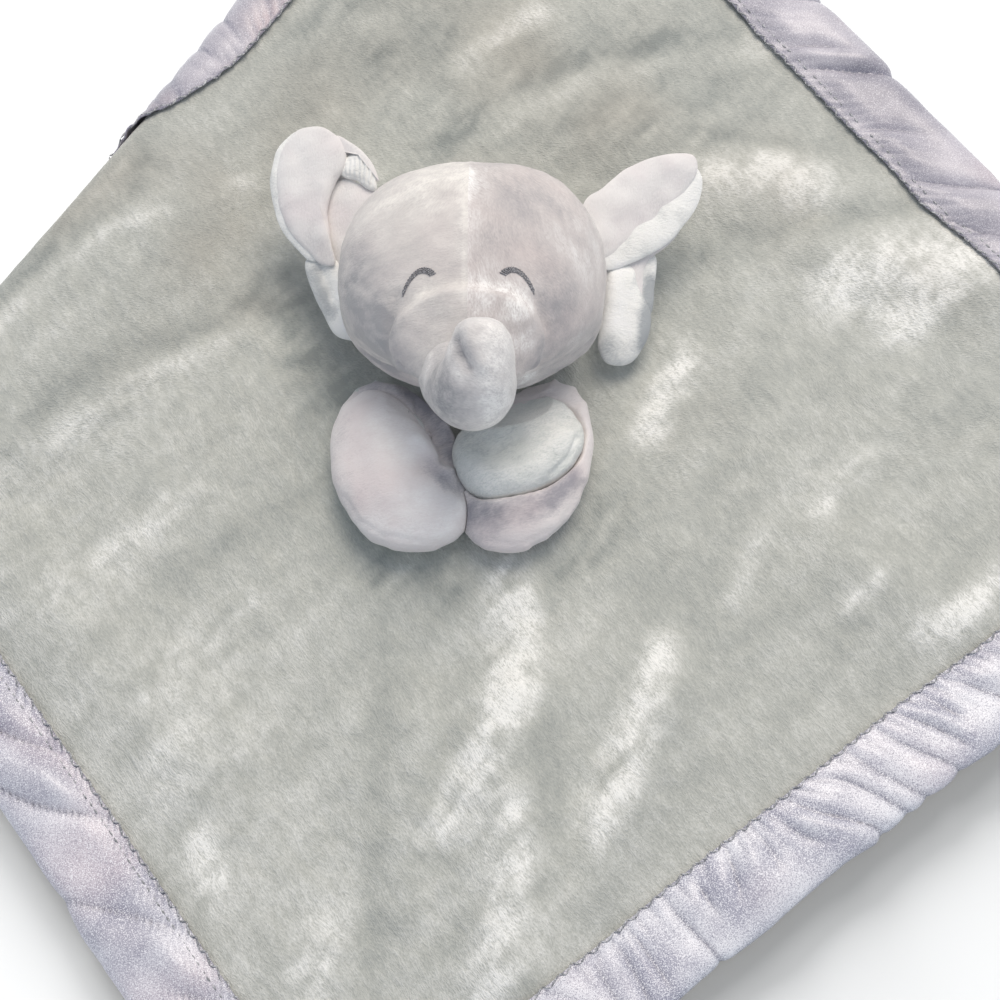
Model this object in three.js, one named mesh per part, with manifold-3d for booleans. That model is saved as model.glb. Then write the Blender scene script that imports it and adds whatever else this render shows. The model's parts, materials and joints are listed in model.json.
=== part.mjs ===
// Comfort blanket lovey: a square double-layer plush blanket with a satin binding and a stuffed
// elephant head and two arms sewn to its middle. Millimetres, +Z up out of the blanket, +Y towards
// the crown of the head, origin on the flat underside of the blanket below the toy.
import * as THREE from "three";
import { mergeVertices } from "three/addons/utils/BufferGeometryUtils.js";
import Module from "manifold-3d";

const wasm = await Module();
wasm.setup();

// Clearances
const pieceGap = 0.3; // between fabric pieces that touch
const bindingGap = 0.5; // between the satin and the plush it wraps
const mitreGap = 1; // from the corner's diagonal to the end of each binding strip
const skin = 1.2; // thickness of the toy's fabric
const coreGap = 1.1; // between the fabric and the stuffing
const facetRoom = 0.7; // more room where two forms of flat facets meet

// Blanket
const blanketSide = 355;
const blanketShift = 5.5; // the blanket's middle lies this far to the left of the toy
const blanketTurn = THREE.MathUtils.degToRad(36.99);
const plush = 2.2; // thickness of each plush layer
const satin = 0.6;
const bindingWidth = 25;
const seamAllowance = 3; // plush stops this far inside the binding's outer fold
const openColumns = 14; // grid columns between the bindings
const rollRows = 5; // grid rows under the rolled edge's binding
const rollEndRows = 1;
const openRows = 13;

// Rolled upper left edge
const rollRadius = 4.5;
const rollStartShort = 17; // cloth width rolled under towards the top corner
const rollStartLong = 29.5; // cloth width rolled under towards the left corner
const rollEnd = 31; // the roll's grid rows end here
const rollChangeFrom = 115; // along the edge from the left corner
const rollChangeTo = 205;
const rollInsetShort = 12.5; // how far inside the flat outline the roll's outer face lies
const rollInsetLong = 72;
const rollInsetFrom = 63;
const rollInsetTo = 249;
const bunchLength = 150;
const rollRest = 4;
const rollSlope = 45;
const edgeSlope = 40;

// Main folds of the blanket
const foldHeight = 6;
const calmRadius = 72; // the cloth is flat this far round the toy
const calmFade = 30;
// Each fold: start x and y, end x and y, half width, height
const foldShares = [
  [0.04, -0.2, 0.034, -0.47, 0.045, 1],
  [0.16, -0.26, 0.06, -0.47, 0.045, 0.7],
  [0.31, 0.135, 0.45, 0.093, 0.045, 0.9],
  [0.21, 0.2, 0.33, 0.183, 0.045, 0.7],
  [0.07, 0.24, 0.2, 0.245, 0.045, 0.6],
  [-0.4, -0.14, -0.22, -0.31, 0.055, 0.8],
  [0.31, -0.15, 0.39, -0.2, 0.05, 0.7],
];

// Head
const headCentre = new THREE.Vector3(0, 22, 36.6);
const headHalf = new THREE.Vector3(38.2, 35.5, 31.2);
const headSquareness = 2.4; // exponent of the head's rounded-box section
const muzzleCentre = new THREE.Vector3(0, -1, 43.5);
const muzzleHalf = new THREE.Vector3(20, 17.5, 19);
const sideSeam = THREE.MathUtils.degToRad(94); // from the face's middle round to the ears
const poleStop = THREE.MathUtils.degToRad(5);
const panelColumns = 6;
const backColumns = 7;
const panelRows = 11;

// Trunk: middle line points and radii, from the muzzle to the tip
const trunkPoints = [
  new THREE.Vector3(-0.5, -3, 44),
  new THREE.Vector3(-1, -14, 51),
  new THREE.Vector3(0, -21, 60),
  new THREE.Vector3(2, -20.5, 70),
  new THREE.Vector3(4, -16, 77.5),
  new THREE.Vector3(5, -12.5, 81),
];
const trunkRadii = [14.5, 14, 12.8, 10.6, 7.6, 3];
const trunkRings = 9;
const trunkSides = 12;

// Eyes: closed lids embroidered as arcs
const eyeSpacing = 27.5;
const eyeLength = 8.5;
const eyeRise = 2.9; // height of the arc's middle over its ends
const eyeDrop = 2.1; // how far the outer end lies below the arc's chord middle
const eyeUp = 9; // the chord's middle, up the face from the origin
const eyeWidth = 2.1; // at the thick inner end
const eyeTipShare = 0.45; // of that width, at the outer end
const eyeThread = 0.9;
const eyeColumns = 8;
const surfaceSteps = 6;

// Ears, outlines as shares of the ear's reach about its middle, root side last
const earReach = 36;
const earHalfThickness = 3.1;
const earLiningHalf = 1.5;
const liningInset = 0.6;
const liningShift = 2.4; // the lining lies this far off the fold
const earRootGap = 1; // from the head's surface to the ear's root
const rightEarMiddle = new THREE.Vector3(46, 38, 25.5);
const leftEarMiddle = new THREE.Vector3(-48, 46, 27.5);
const earSlopeAlong = 0.38;
const earSlopeOut = -0.15;
const rightEarShares = [
  [-0.46, 0.4],
  [0, 0.6],
  [0.33, 0.75],
  [0.58, 0.7],
  [0.61, 0.42],
  [0.44, 0.12],
  [0.27, -0.17],
  [0.2, -0.56],
  [0.05, -0.87],
  [-0.14, -0.92],
  [-0.3, -0.7],
  [-0.34, -0.33],
  [-0.38, 0.02],
];
const leftEarShares = [
  [0.5, 0.3],
  [0.39, 0.61],
  [0.19, 0.81],
  [-0.03, 0.89],
  [-0.25, 0.75],
  [-0.36, 0.47],
  [-0.31, 0.11],
  [-0.19, -0.14],
  [-0.06, -0.33],
  [0.03, -0.61],
  [0.19, -0.89],
  [0.38, -0.9],
  [0.44, -0.6],
  [0.44, -0.25],
  [0.46, 0.06],
];
// The folded flap's free edge: a point on it and its direction
const rightFlapEdge = new THREE.Vector3(54, 36, 0);
const rightFlapTurn = THREE.MathUtils.degToRad(37);
const leftFlapEdge = new THREE.Vector3(-49, 35.5, 0);
const leftFlapTurn = THREE.MathUtils.degToRad(-36);

// Arms, outlines as shares of the arm's reach about its middle
const armReach = 30;
const armHeight = 19.5;
const armFlatShare = 0.4; // share of the height below the arm's widest outline
const armShoulder = 16; // the arm thins over this length towards the shoulder
const shoulderShare = 0.42; // share of the height that is left at the shoulder
const armGap = 0.5; // between the two arms where they cross
const leftArmMiddle = new THREE.Vector3(-23, -28, 0);
const rightArmMiddle = new THREE.Vector3(14.4, -28, 0);
const leftArmShares = [
  [0.58, 0],
  [0.46, 0.25],
  [0.36, 0.62],
  [0.1, 0.88],
  [-0.33, 0.98],
  [-0.58, 0.68],
  [-0.67, 0.25],
  [-0.62, -0.17],
  [-0.45, -0.5],
  [-0.2, -0.75],
  [0.2, -0.82],
  [0.56, -0.72],
  [0.7, -0.4],
];
const rightArmShares = [
  [0.69, 0],
  [0.67, 0.38],
  [0.55, 0.8],
  [0.2, 0.93],
  [-0.2, 0.72],
  [-0.56, 0.42],
  [-0.68, 0.03],
  [-0.58, -0.3],
  [-0.52, -0.64],
  [-0.2, -0.86],
  [0.3, -0.72],
  [0.57, -0.42],
];
const palmMiddle = new THREE.Vector3(13, -21.5, 0);
const palmHalf = new THREE.Vector3(19.5, 18.5, 0);
const palmDrop = 9; // the palm panel reaches this far down from the arm's top

// Neck: the closing disc that joins the head to the front plush
const neckMiddle = new THREE.Vector3(0, -3, 0);
const neckRadius = 7;
const neckHeight = 5.5;
const neckSides = 20;

// Counts and shares that set how finely the forms are cut
const headSides = 16;
const headRings = 10;
const coreSides = 14;
const coreRings = 8;
const outlineSides = 18;
const outlineRings = 6;
const probeShare = 0.2; // of the plush thickness, for slopes
const overrun = 60; // how far cutting tools stand past what they cut
const turnSteps = 2;

// Motions that the shapes leave room for
const headNod = THREE.MathUtils.degToRad(15);
const neckHinge = new THREE.Vector3(0, -6, 8);
const earLift = THREE.MathUtils.degToRad(60);
const rightEarRoot = [new THREE.Vector3(32.3, 50, 31), new THREE.Vector3(38.8, 13, 18)];
const leftEarRoot = [new THREE.Vector3(-31, 56, 33), new THREE.Vector3(-38.5, 14, 18)];

const half = (length) => length / 2;
const smooth = (t) => THREE.MathUtils.smoothstep(t, 0, 1);
const sheetHalf = plush + half(pieceGap);
const edgeLift = bindingGap + satin;
const clothTop = sheetHalf + sheetHalf;

// A geometry with one vertex at each place, no collapsed faces, and its faces outwards.
function closedGeometry(points, triangles) {
  const loose = new THREE.BufferGeometry();
  const flat = points.flatMap((p) => [p.x, p.y, p.z]);
  loose.setAttribute("position", new THREE.Float32BufferAttribute(flat, 3));
  loose.setIndex(triangles.flat());
  return outward(mergeVertices(loose));
}

function outward(geometry) {
  const position = geometry.getAttribute("position");
  const index = Array.from(geometry.index.array);
  const corner = (i) => new THREE.Vector3().fromBufferAttribute(position, index[i]);
  const kept = [];
  let volume = 0;
  for (let i = 0; i < index.length; i += 3) {
    const face = index.slice(i, i + 3);
    if (new Set(face).size < 3) continue;
    volume += corner(i).dot(corner(i + 1).cross(corner(i + 2)));
    kept.push(face);
  }
  const turned = volume < 0 ? kept.map((face) => face.reverse()) : kept;
  const result = new THREE.BufferGeometry();
  result.setAttribute("position", position);
  result.setIndex(turned.flat());
  return result;
}

function bare(geometry) {
  geometry.deleteAttribute("normal");
  geometry.deleteAttribute("uv");
  const merged = mergeVertices(geometry);
  return merged.index ? outward(merged) : merged;
}

function solidOf(geometry) {
  return new wasm.Manifold(
    new wasm.Mesh({
      numProp: 3,
      vertProperties: new Float32Array(geometry.getAttribute("position").array),
      triVerts: new Uint32Array(geometry.index.array),
    }),
  );
}

function geometryOf(solid) {
  const mesh = solid.getMesh();
  const geometry = new THREE.BufferGeometry();
  const places = new Float32Array(mesh.vertProperties);
  geometry.setAttribute("position", new THREE.BufferAttribute(places, mesh.numProp));
  geometry.setIndex(Array.from(mesh.triVerts));
  return geometry;
}

// A closed layer between two grids of points, one grid for each of its faces. Each warped cell is
// split along its higher diagonal, so layers that lie on each other are split alike.
function layer(rows, columns, upper, lower) {
  const points = [];
  for (let i = 0; i <= rows; i++)
    for (let j = 0; j <= columns; j++) points.push(upper(i, j), lower(i, j));
  const at = (i, j, side) => 2 * (i * (columns + 1) + j) + side;
  const triangles = [];
  const quad = (a, b, c, d) => {
    const higher = points[a].z + points[c].z > points[b].z + points[d].z;
    if (higher) triangles.push([a, b, c], [a, c, d]);
    else triangles.push([b, c, d], [b, d, a]);
  };
  for (let i = 0; i < rows; i++)
    for (let j = 0; j < columns; j++) {
      quad(at(i, j, 0), at(i + 1, j, 0), at(i + 1, j + 1, 0), at(i, j + 1, 0));
      quad(at(i, j, 1), at(i, j + 1, 1), at(i + 1, j + 1, 1), at(i + 1, j, 1));
    }
  for (let i = 0; i < rows; i++) {
    quad(at(i, 0, 0), at(i, 0, 1), at(i + 1, 0, 1), at(i + 1, 0, 0));
    quad(at(i + 1, columns, 0), at(i + 1, columns, 1), at(i, columns, 1), at(i, columns, 0));
  }
  for (let j = 0; j < columns; j++) {
    quad(at(0, j + 1, 0), at(0, j + 1, 1), at(0, j, 1), at(0, j, 0));
    quad(at(rows, j, 0), at(rows, j, 1), at(rows, j + 1, 1), at(rows, j + 1, 0));
  }
  return closedGeometry(points, triangles);
}

// Cloth places: along runs from the left corner to the top corner on the upper left edge, and
// across runs from that edge towards the lower right.
const alongAxis = new THREE.Vector3(Math.cos(blanketTurn), Math.sin(blanketTurn), 0);
const acrossAxis = new THREE.Vector3(Math.sin(blanketTurn), -Math.cos(blanketTurn), 0);
const leftCorner = new THREE.Vector3(-blanketShift, 0, 0)
  .addScaledVector(alongAxis, -half(blanketSide))
  .addScaledVector(acrossAxis, -half(blanketSide));

function rollStart(along) {
  const t = (along - rollChangeFrom) / (rollChangeTo - rollChangeFrom);
  return THREE.MathUtils.lerp(rollStartLong, rollStartShort, smooth(t));
}

function rollInset(along) {
  const t = (along - rollInsetFrom) / (rollInsetTo - rollInsetFrom);
  const share = THREE.MathUtils.clamp(t, 0, 1);
  return THREE.MathUtils.lerp(rollInsetLong, rollInsetShort, share);
}

function foldLift(place) {
  const calm = smooth((Math.hypot(place.x, place.y) - calmRadius) / calmFade);
  let lift = 0;
  for (const [x0, y0, x1, y1, width, height] of foldShares) {
    const from = new THREE.Vector3(x0, y0, 0).multiplyScalar(blanketSide);
    const to = new THREE.Vector3(x1, y1, 0).multiplyScalar(blanketSide);
    const near = new THREE.Line3(from, to).closestPointToPoint(place, true, new THREE.Vector3());
    const share = near.distanceTo(place) / (width * blanketSide);
    lift = Math.max(lift, height * Math.exp(-share * share));
  }
  return lift * calm * foldHeight;
}

// The place of the cloth's middle surface.
function clothMiddle(along, across) {
  const start = rollStart(along);
  const seat = rollInset(along) + rollRadius;
  const past = start - across;
  const edge = Math.min(along, across, blanketSide - along, blanketSide - across);
  const lift = sheetHalf + edgeLift * (1 - smooth((edge - bindingWidth) / edgeSlope));
  const top = 2 * rollRadius;
  if (past > 0) {
    const bend = Math.min(past / rollRadius, Math.PI);
    const under = Math.max(past - Math.PI * rollRadius, 0);
    const place = leftCorner.clone().addScaledVector(alongAxis, along);
    place.addScaledVector(acrossAxis, seat - rollRadius * Math.sin(bend) + under);
    place.z = sheetHalf + edgeLift + top - rollRadius * (1 - Math.cos(bend));
    return place;
  }
  const bunch = (seat - start) * (1 - smooth(-past / bunchLength));
  const place = leftCorner.clone().addScaledVector(alongAxis, along);
  place.addScaledVector(acrossAxis, across + bunch);
  const rest = Math.max(start - Math.PI * rollRadius, 0) + rollRest;
  const raised = 1 - smooth((-past - rest) / rollSlope);
  const base = THREE.MathUtils.lerp(lift, sheetHalf + edgeLift, raised);
  place.z = base + top * raised + foldLift(place) * (1 - raised);
  return place;
}

// A point of the cloth, off its middle surface by rise on the side that shows.
function clothPoint(along, across, rise) {
  const step = plush * probeShare;
  const byAlong = clothMiddle(along + step, across).sub(clothMiddle(along - step, across));
  const byAcross = clothMiddle(along, across + step).sub(clothMiddle(along, across - step));
  const normal = byAcross.cross(byAlong).normalize();
  return clothMiddle(along, across).addScaledVector(normal, rise);
}

// Grid lines of the cloth: on the plush's edges, on the binding's inner edges, and between.
function spaced(from, to, count) {
  return Array.from({ length: count }, (_, i) =>
    THREE.MathUtils.lerp(from, to, i / count),
  );
}

const farInner = blanketSide - bindingWidth;
const farPlush = blanketSide - seamAllowance;
const alongStops = [
  seamAllowance,
  ...spaced(bindingWidth, farInner, openColumns),
  farInner,
  farPlush,
];
const acrossStops = [
  ...spaced(seamAllowance, bindingWidth, rollRows),
  ...spaced(bindingWidth, rollEnd, rollEndRows),
  ...spaced(rollEnd, farInner, openRows),
  farInner,
  farPlush,
];

function plushSheet(low, high) {
  const point = (rise) => (i, j) => clothPoint(alongStops[j], acrossStops[i], rise);
  return layer(acrossStops.length - 1, alongStops.length - 1, point(high), point(low));
}

// One binding strip, a satin band folded round the edge: inner holds the distances from its outer
// fold inwards, stops the places along the edge, place turns the two into along and across, and
// start and end give how far from the corners the strip runs at each distance.
function bindingStrip(inner, stops, place, start, end) {
  const upper = inner.map((distance) => [distance, 1]);
  const lower = inner.map((distance) => [distance, -1]).reverse();
  const section = [...upper, [0, 0], ...lower];
  const stations = [0, ...stops, blanketSide];
  const point = (wall) => (k, i) => {
    const [distance, side] = section[k];
    const last = blanketSide - end(distance);
    const station = THREE.MathUtils.clamp(stations[i], start(distance), last);
    const [along, across] = place(side === 0 ? satin - wall : distance, station);
    return clothPoint(along, across, side * (sheetHalf + bindingGap + wall));
  };
  return layer(section.length - 1, stations.length - 1, point(satin), point(0));
}

function blanketPieces() {
  const grey = { color: 0xb6b7b4, roughness: 0.95 };
  const lilac = { color: 0xc6c4cd, roughness: 0.4 };
  const flat = [bindingWidth, seamAllowance];
  const rolled = [bindingWidth, ...spaced(seamAllowance, bindingWidth, rollRows).reverse()];
  const turned = (distance) => blanketSide - distance;
  const mitred = (distance) => distance + mitreGap;
  const whole = () => 0;
  const butted = () => bindingWidth + mitreGap;
  const upperLeft = (edge, station) => [station, edge];
  const lowerRight = (edge, station) => [station, turned(edge)];
  const lowerLeft = (edge, station) => [edge, station];
  const upperRight = (edge, station) => [turned(edge), station];
  const strips = {
    upper_left: bindingStrip(rolled, alongStops, upperLeft, whole, whole),
    lower_right: bindingStrip(flat, alongStops, lowerRight, mitred, mitred),
    lower_left: bindingStrip(flat, acrossStops, lowerLeft, butted, mitred),
    upper_right: bindingStrip(flat, acrossStops, upperRight, butted, mitred),
  };
  return [
    ["blanket_front_plush", plushSheet(half(pieceGap), sheetHalf), grey],
    ["blanket_back_plush", plushSheet(-sheetHalf, -half(pieceGap)), grey],
    ...Object.keys(strips).map((side) => ["satin_binding_" + side, strips[side], lilac]),
  ];
}

// How far the head's surface lies from its centre in a direction.
function headReach(direction) {
  const power = headSquareness;
  const sum =
    Math.abs(direction.x / headHalf.x) ** power +
    Math.abs(direction.y / headHalf.y) ** power +
    Math.abs(direction.z / headHalf.z) ** power;
  const ball = sum ** (-1 / power);
  const ray = direction.clone().divide(muzzleHalf);
  const offset = headCentre.clone().sub(muzzleCentre).divide(muzzleHalf);
  const a = ray.lengthSq();
  const b = ray.dot(offset);
  const c = offset.lengthSq() - 1;
  const root = b * b - a * c;
  const muzzle = root > 0 ? (-b + Math.sqrt(root)) / a : 0;
  return Math.max(ball, muzzle);
}

// A point under the head's surface: round is the turn from the face's middle towards +X, down is
// the angle from the crown.
function headPoint(round, down, depth) {
  const direction = new THREE.Vector3().setFromSphericalCoords(1, down, round);
  const reach = headReach(direction) - depth;
  return direction.multiplyScalar(reach).add(headCentre);
}

function headPanel(from, to, columns, shift) {
  const point = (depth) => (i, j) => {
    const round = THREE.MathUtils.lerp(from, to, j / columns);
    const down = THREE.MathUtils.lerp(poleStop, Math.PI - poleStop, i / panelRows);
    return headPoint(round, down, depth).add(shift);
  };
  return layer(panelRows, columns, point(0), point(skin));
}

// The whole head as one closed form, depth under its surface.
function headForm(depth, sides, rings) {
  const geometry = bare(new THREE.SphereGeometry(1, sides, rings));
  const position = geometry.getAttribute("position");
  for (let i = 0; i < position.count; i++) {
    const direction = new THREE.Vector3().fromBufferAttribute(position, i).normalize();
    const place = direction.clone().multiplyScalar(headReach(direction) - depth).add(headCentre);
    position.setXYZ(i, place.x, place.y, place.z);
  }
  return geometry;
}

function trunkForm(depth) {
  const line = new THREE.CatmullRomCurve3(trunkPoints);
  const last = trunkPoints.length - 1;
  const end = 1 - depth / line.getLength();
  const points = [];
  const triangles = [];
  for (let i = 0; i <= trunkRings; i++) {
    const t = (end * i) / trunkRings;
    const along = line.getUtoTmapping(t) * last;
    const low = Math.min(Math.floor(along), last - 1);
    const radius = THREE.MathUtils.lerp(trunkRadii[low], trunkRadii[low + 1], along - low);
    const middle = line.getPointAt(t);
    const thin = radius - depth;
    const sideways = new THREE.Vector3(1, 0, 0);
    const outwards = line.getTangentAt(t).cross(sideways).normalize();
    for (let j = 0; j < trunkSides; j++) {
      const turn = (2 * Math.PI * j) / trunkSides;
      const place = middle.clone().addScaledVector(sideways, thin * Math.cos(turn));
      points.push(place.addScaledVector(outwards, thin * Math.sin(turn)));
    }
  }
  const tip = line.getTangentAt(1).multiplyScalar(half(trunkRadii[last]));
  points.push(line.getPointAt(0), line.getPointAt(end).add(tip));
  const count = trunkSides * (trunkRings + 1);
  for (let j = 0; j < trunkSides; j++) {
    const next = (j + 1) % trunkSides;
    for (let i = 0; i < trunkRings; i++) {
      const base = i * trunkSides;
      const above = base + trunkSides;
      triangles.push([base + j, base + next, above + next], [base + j, above + next, above + j]);
    }
    triangles.push([count, next, j]);
    triangles.push([count + 1, count - trunkSides + j, count - trunkSides + next]);
  }
  return closedGeometry(points, triangles);
}

function boxAt(size, centre, turn = 0) {
  const geometry = bare(new THREE.BoxGeometry(size.x, size.y, size.z));
  geometry.rotateZ(turn);
  geometry.translate(centre.x, centre.y, centre.z);
  return solidOf(geometry);
}

// The place on the face over x and y, raised off it by rise.
function facePoint(x, y, rise) {
  const flat = new THREE.Vector3(x - headCentre.x, y - headCentre.y, headHalf.z);
  for (let i = 0; i < surfaceSteps; i++) {
    const direction = flat.clone().normalize();
    flat.z = direction.z * headReach(direction);
  }
  const direction = flat.normalize();
  return direction.multiplyScalar(headReach(direction) + rise).add(headCentre);
}

function eyeArc(side) {
  const point = (rise) => (i, j) => {
    const t = (2 * j) / eyeColumns - 1;
    const width = eyeWidth * THREE.MathUtils.lerp(1, eyeTipShare, half(1 + t));
    const x = side * half(eyeSpacing + eyeLength * t);
    const y = eyeUp + eyeRise * (1 - t * t) - eyeDrop * t + width * (i - half(1));
    return facePoint(x, y, rise);
  };
  return layer(1, eyeColumns, point(pieceGap + eyeThread), point(pieceGap));
}

function headPieces() {
  const cloth = { color: 0xd3cecc, roughness: 0.9 };
  const white = { color: 0xf2f2ee, roughness: 1 };
  const aside = new THREE.Vector3(half(pieceGap), 0, 0);
  const right = headPanel(0, sideSeam, panelColumns, aside);
  const left = headPanel(-sideSeam, 0, panelColumns, aside.clone().negate());
  const backTo = 2 * Math.PI - sideSeam;
  const back = headPanel(sideSeam, backTo, backColumns, new THREE.Vector3(0, 0, -pieceGap));
  const core = headForm(skin + coreGap, coreSides, coreRings);

  const head = solidOf(headForm(-facetRoom - pieceGap, headSides, headRings));
  const trunk = solidOf(trunkForm(0));
  const inner = solidOf(trunkForm(skin));
  const shell = trunk.subtract(inner).subtract(head);
  const span = new THREE.Vector3(overrun, 2 * overrun, 2 * overrun);
  const reach = half(overrun + pieceGap);
  const leftSide = boxAt(span, new THREE.Vector3(-reach, 0, overrun));
  const rightSide = boxAt(span, new THREE.Vector3(reach, 0, overrun));
  const filling = solidOf(trunkForm(skin + coreGap + coreGap)).subtract(head);
  return [
    ["face_panel_left", left, cloth],
    ["face_panel_right", right, cloth],
    ["head_back_panel", back, cloth],
    ["head_stuffing", core, white],
    ["trunk_panel_left", geometryOf(shell.intersect(leftSide)), cloth],
    ["trunk_panel_right", geometryOf(shell.intersect(rightSide)), cloth],
    ["trunk_stuffing", geometryOf(filling), white],
    ["eye_left", eyeArc(-1), { color: 0x55555c, roughness: 0.6 }],
    ["eye_right", eyeArc(1), { color: 0x55555c, roughness: 0.6 }],
  ];
}

// A padded form over an outline: the sphere's plan follows the outline and its height is scaled.
function padForm(shares, reach, inset, upper, lower, shape) {
  const points = shares.map(([x, y]) => new THREE.Vector3(x, y, 0).multiplyScalar(reach));
  const outline = new THREE.CatmullRomCurve3(points, true);
  const geometry = new THREE.SphereGeometry(1, outlineSides, outlineRings);
  geometry.rotateX(half(Math.PI));
  const pad = bare(geometry);
  const position = pad.getAttribute("position");
  for (let i = 0; i < position.count; i++) {
    const unit = new THREE.Vector3().fromBufferAttribute(position, i);
    const turn = Math.atan2(unit.y, unit.x) / (2 * Math.PI);
    const edge = outline.getPoint((turn + 1) % 1);
    const out = Math.hypot(unit.x, unit.y);
    edge.setLength(Math.max(edge.length() - inset, inset) * out);
    const height = unit.z > 0 ? upper - inset : lower - inset;
    const place = shape(edge, unit.z * height);
    position.setXYZ(i, place.x, place.y, place.z);
  }
  return outward(pad);
}

// The volume of one geometry turned to several angles about a hinge line.
function turnedSolid(geometry, origin, axis, angle) {
  const turn = new THREE.Matrix4().makeRotationAxis(axis, angle);
  const there = new THREE.Matrix4().makeTranslation(origin);
  const back = new THREE.Matrix4().makeTranslation(origin.clone().negate());
  return solidOf(geometry.clone().applyMatrix4(there.multiply(turn).multiply(back)));
}

function turnedSolids(geometry, origin, axis, angle) {
  const turned = [];
  for (let i = 0; i <= turnSteps; i++)
    turned.push(turnedSolid(geometry, origin, axis, (angle * i) / turnSteps));
  return turned;
}

function cutBy(solid, tools) {
  return tools.reduce((left, tool) => left.subtract(tool), solid);
}

// An ear: a lilac back folded over at the top, and the white lining inside the fold.
function earPieces(shares, middle, flapEdge, flapTurn, root) {
  const side = Math.sign(middle.x);
  const down = new THREE.Vector3(Math.sin(flapTurn), -Math.cos(flapTurn), 0);
  const shape = (shift) => (edge, height) => {
    const place = edge.clone().addScaledVector(down, shift);
    place.z = earSlopeAlong * place.y + earSlopeOut * side * place.x + height;
    return place.add(middle);
  };
  const pad = (inset, upper, lower, shift = 0) =>
    solidOf(padForm(shares, earReach, inset, upper, lower, shape(shift)));
  const span = new THREE.Vector3(2 * overrun, overrun, 4 * overrun);
  const below = (gap) => {
    const centre = flapEdge.clone().addScaledVector(down, half(overrun) - gap);
    return boxAt(span, centre, flapTurn);
  };
  const whole = pad(0, earHalfThickness, earHalfThickness);
  const lining = pad(liningInset, earLiningHalf, earLiningHalf, liningShift);
  const room = pad(
    liningInset - pieceGap,
    earLiningHalf + pieceGap,
    earLiningHalf + pieceGap,
    liningShift,
  );
  const front = pad(0, earHalfThickness, 0).intersect(below(0));
  const frontRoom = pad(-pieceGap, earHalfThickness + overrun, 0).intersect(below(pieceGap));
  const head = headForm(-earRootGap, headSides, headRings);
  const axis = root[0].clone().sub(root[1]).normalize();
  const tools = turnedSolids(head, root[0], axis, side * earLift);
  const back = cutBy(whole.subtract(room).subtract(frontRoom), tools);
  const inner = cutBy(lining.add(front), tools);
  return [geometryOf(back), geometryOf(inner)];
}

function earNodes() {
  const lilac = { color: 0xe2dfde, roughness: 0.9 };
  const white = { color: 0xf0f0ea, roughness: 0.95 };
  const right = earPieces(
    rightEarShares, rightEarMiddle, rightFlapEdge, rightFlapTurn, rightEarRoot);
  const left = earPieces(leftEarShares, leftEarMiddle, leftFlapEdge, leftFlapTurn, leftEarRoot);
  return [
    ["ear_left_back", left[0], lilac],
    ["ear_left_lining", left[1], white],
    ["ear_right_back", right[0], lilac],
    ["ear_right_lining", right[1], white],
  ];
}

// The head's space at rest and over its nod.
function headSpace() {
  const head = headForm(-facetRoom - pieceGap, headSides, headRings);
  return turnedSolids(head, neckHinge, new THREE.Vector3(1, 0, 0), headNod);
}

// An arm's form: it lies on the plush and thins towards the shoulder.
function armForm(shares, middle, inset) {
  const lower = armHeight * armFlatShare;
  const upper = armHeight - lower;
  const seat = clothTop + pieceGap + lower;
  const shape = (edge, height) => {
    const fade = smooth((armReach - edge.y) / armShoulder);
    const full = THREE.MathUtils.lerp(shoulderShare, 1, fade);
    const rise = height > 0 ? height * full : height;
    return new THREE.Vector3(edge.x, edge.y, seat + rise).add(middle);
  };
  return cutBy(solidOf(padForm(shares, armReach, inset, upper, lower, shape)), headSpace());
}

function armNodes() {
  const lilac = { color: 0xd0c9ca, roughness: 0.9 };
  const grey = { color: 0xc2c3bf, roughness: 0.95 };
  const white = { color: 0xf2f2ee, roughness: 1 };
  const stuffed = (shares, middle) => {
    const shell = armForm(shares, middle, 0).subtract(armForm(shares, middle, skin));
    return [shell, armForm(shares, middle, skin + coreGap)];
  };
  const [leftShell, leftCore] = stuffed(leftArmShares, leftArmMiddle);
  const crossing = armForm(leftArmShares, leftArmMiddle, -armGap);
  const deeper = armForm(leftArmShares, leftArmMiddle, -armGap - skin);
  const [rightShell, rightCore] = stuffed(rightArmShares, rightArmMiddle);

  const seam = clothTop + pieceGap + armHeight * armFlatShare;
  const span = new THREE.Vector3(4 * overrun, 4 * overrun, overrun);
  const under = boxAt(span, new THREE.Vector3(0, 0, seam - half(overrun)));
  const over = boxAt(span, new THREE.Vector3(0, 0, seam + pieceGap + half(overrun)));

  const palmTool = (gap) => {
    const outline = new THREE.Shape();
    outline.absellipse(palmMiddle.x, palmMiddle.y, palmHalf.x + gap, palmHalf.y + gap);
    const geometry = bare(
      new THREE.ExtrudeGeometry(outline, {
        depth: overrun,
        bevelEnabled: false,
        curveSegments: outlineSides,
      }),
    );
    geometry.translate(0, 0, clothTop + pieceGap + armHeight - palmDrop - gap);
    return solidOf(geometry);
  };
  return [
    ["arm_left_back", geometryOf(leftShell.intersect(over)), lilac],
    ["arm_left_palm", geometryOf(leftShell.intersect(under)), grey],
    ["arm_left_stuffing", geometryOf(leftCore), white],
    [
      "arm_right_back",
      geometryOf(rightShell.subtract(crossing).subtract(palmTool(pieceGap))),
      lilac,
    ],
    ["arm_right_palm", geometryOf(rightShell.subtract(crossing).intersect(palmTool(0))), grey],
    ["arm_right_stuffing", geometryOf(rightCore.subtract(deeper)), white],
  ];
}

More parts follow.
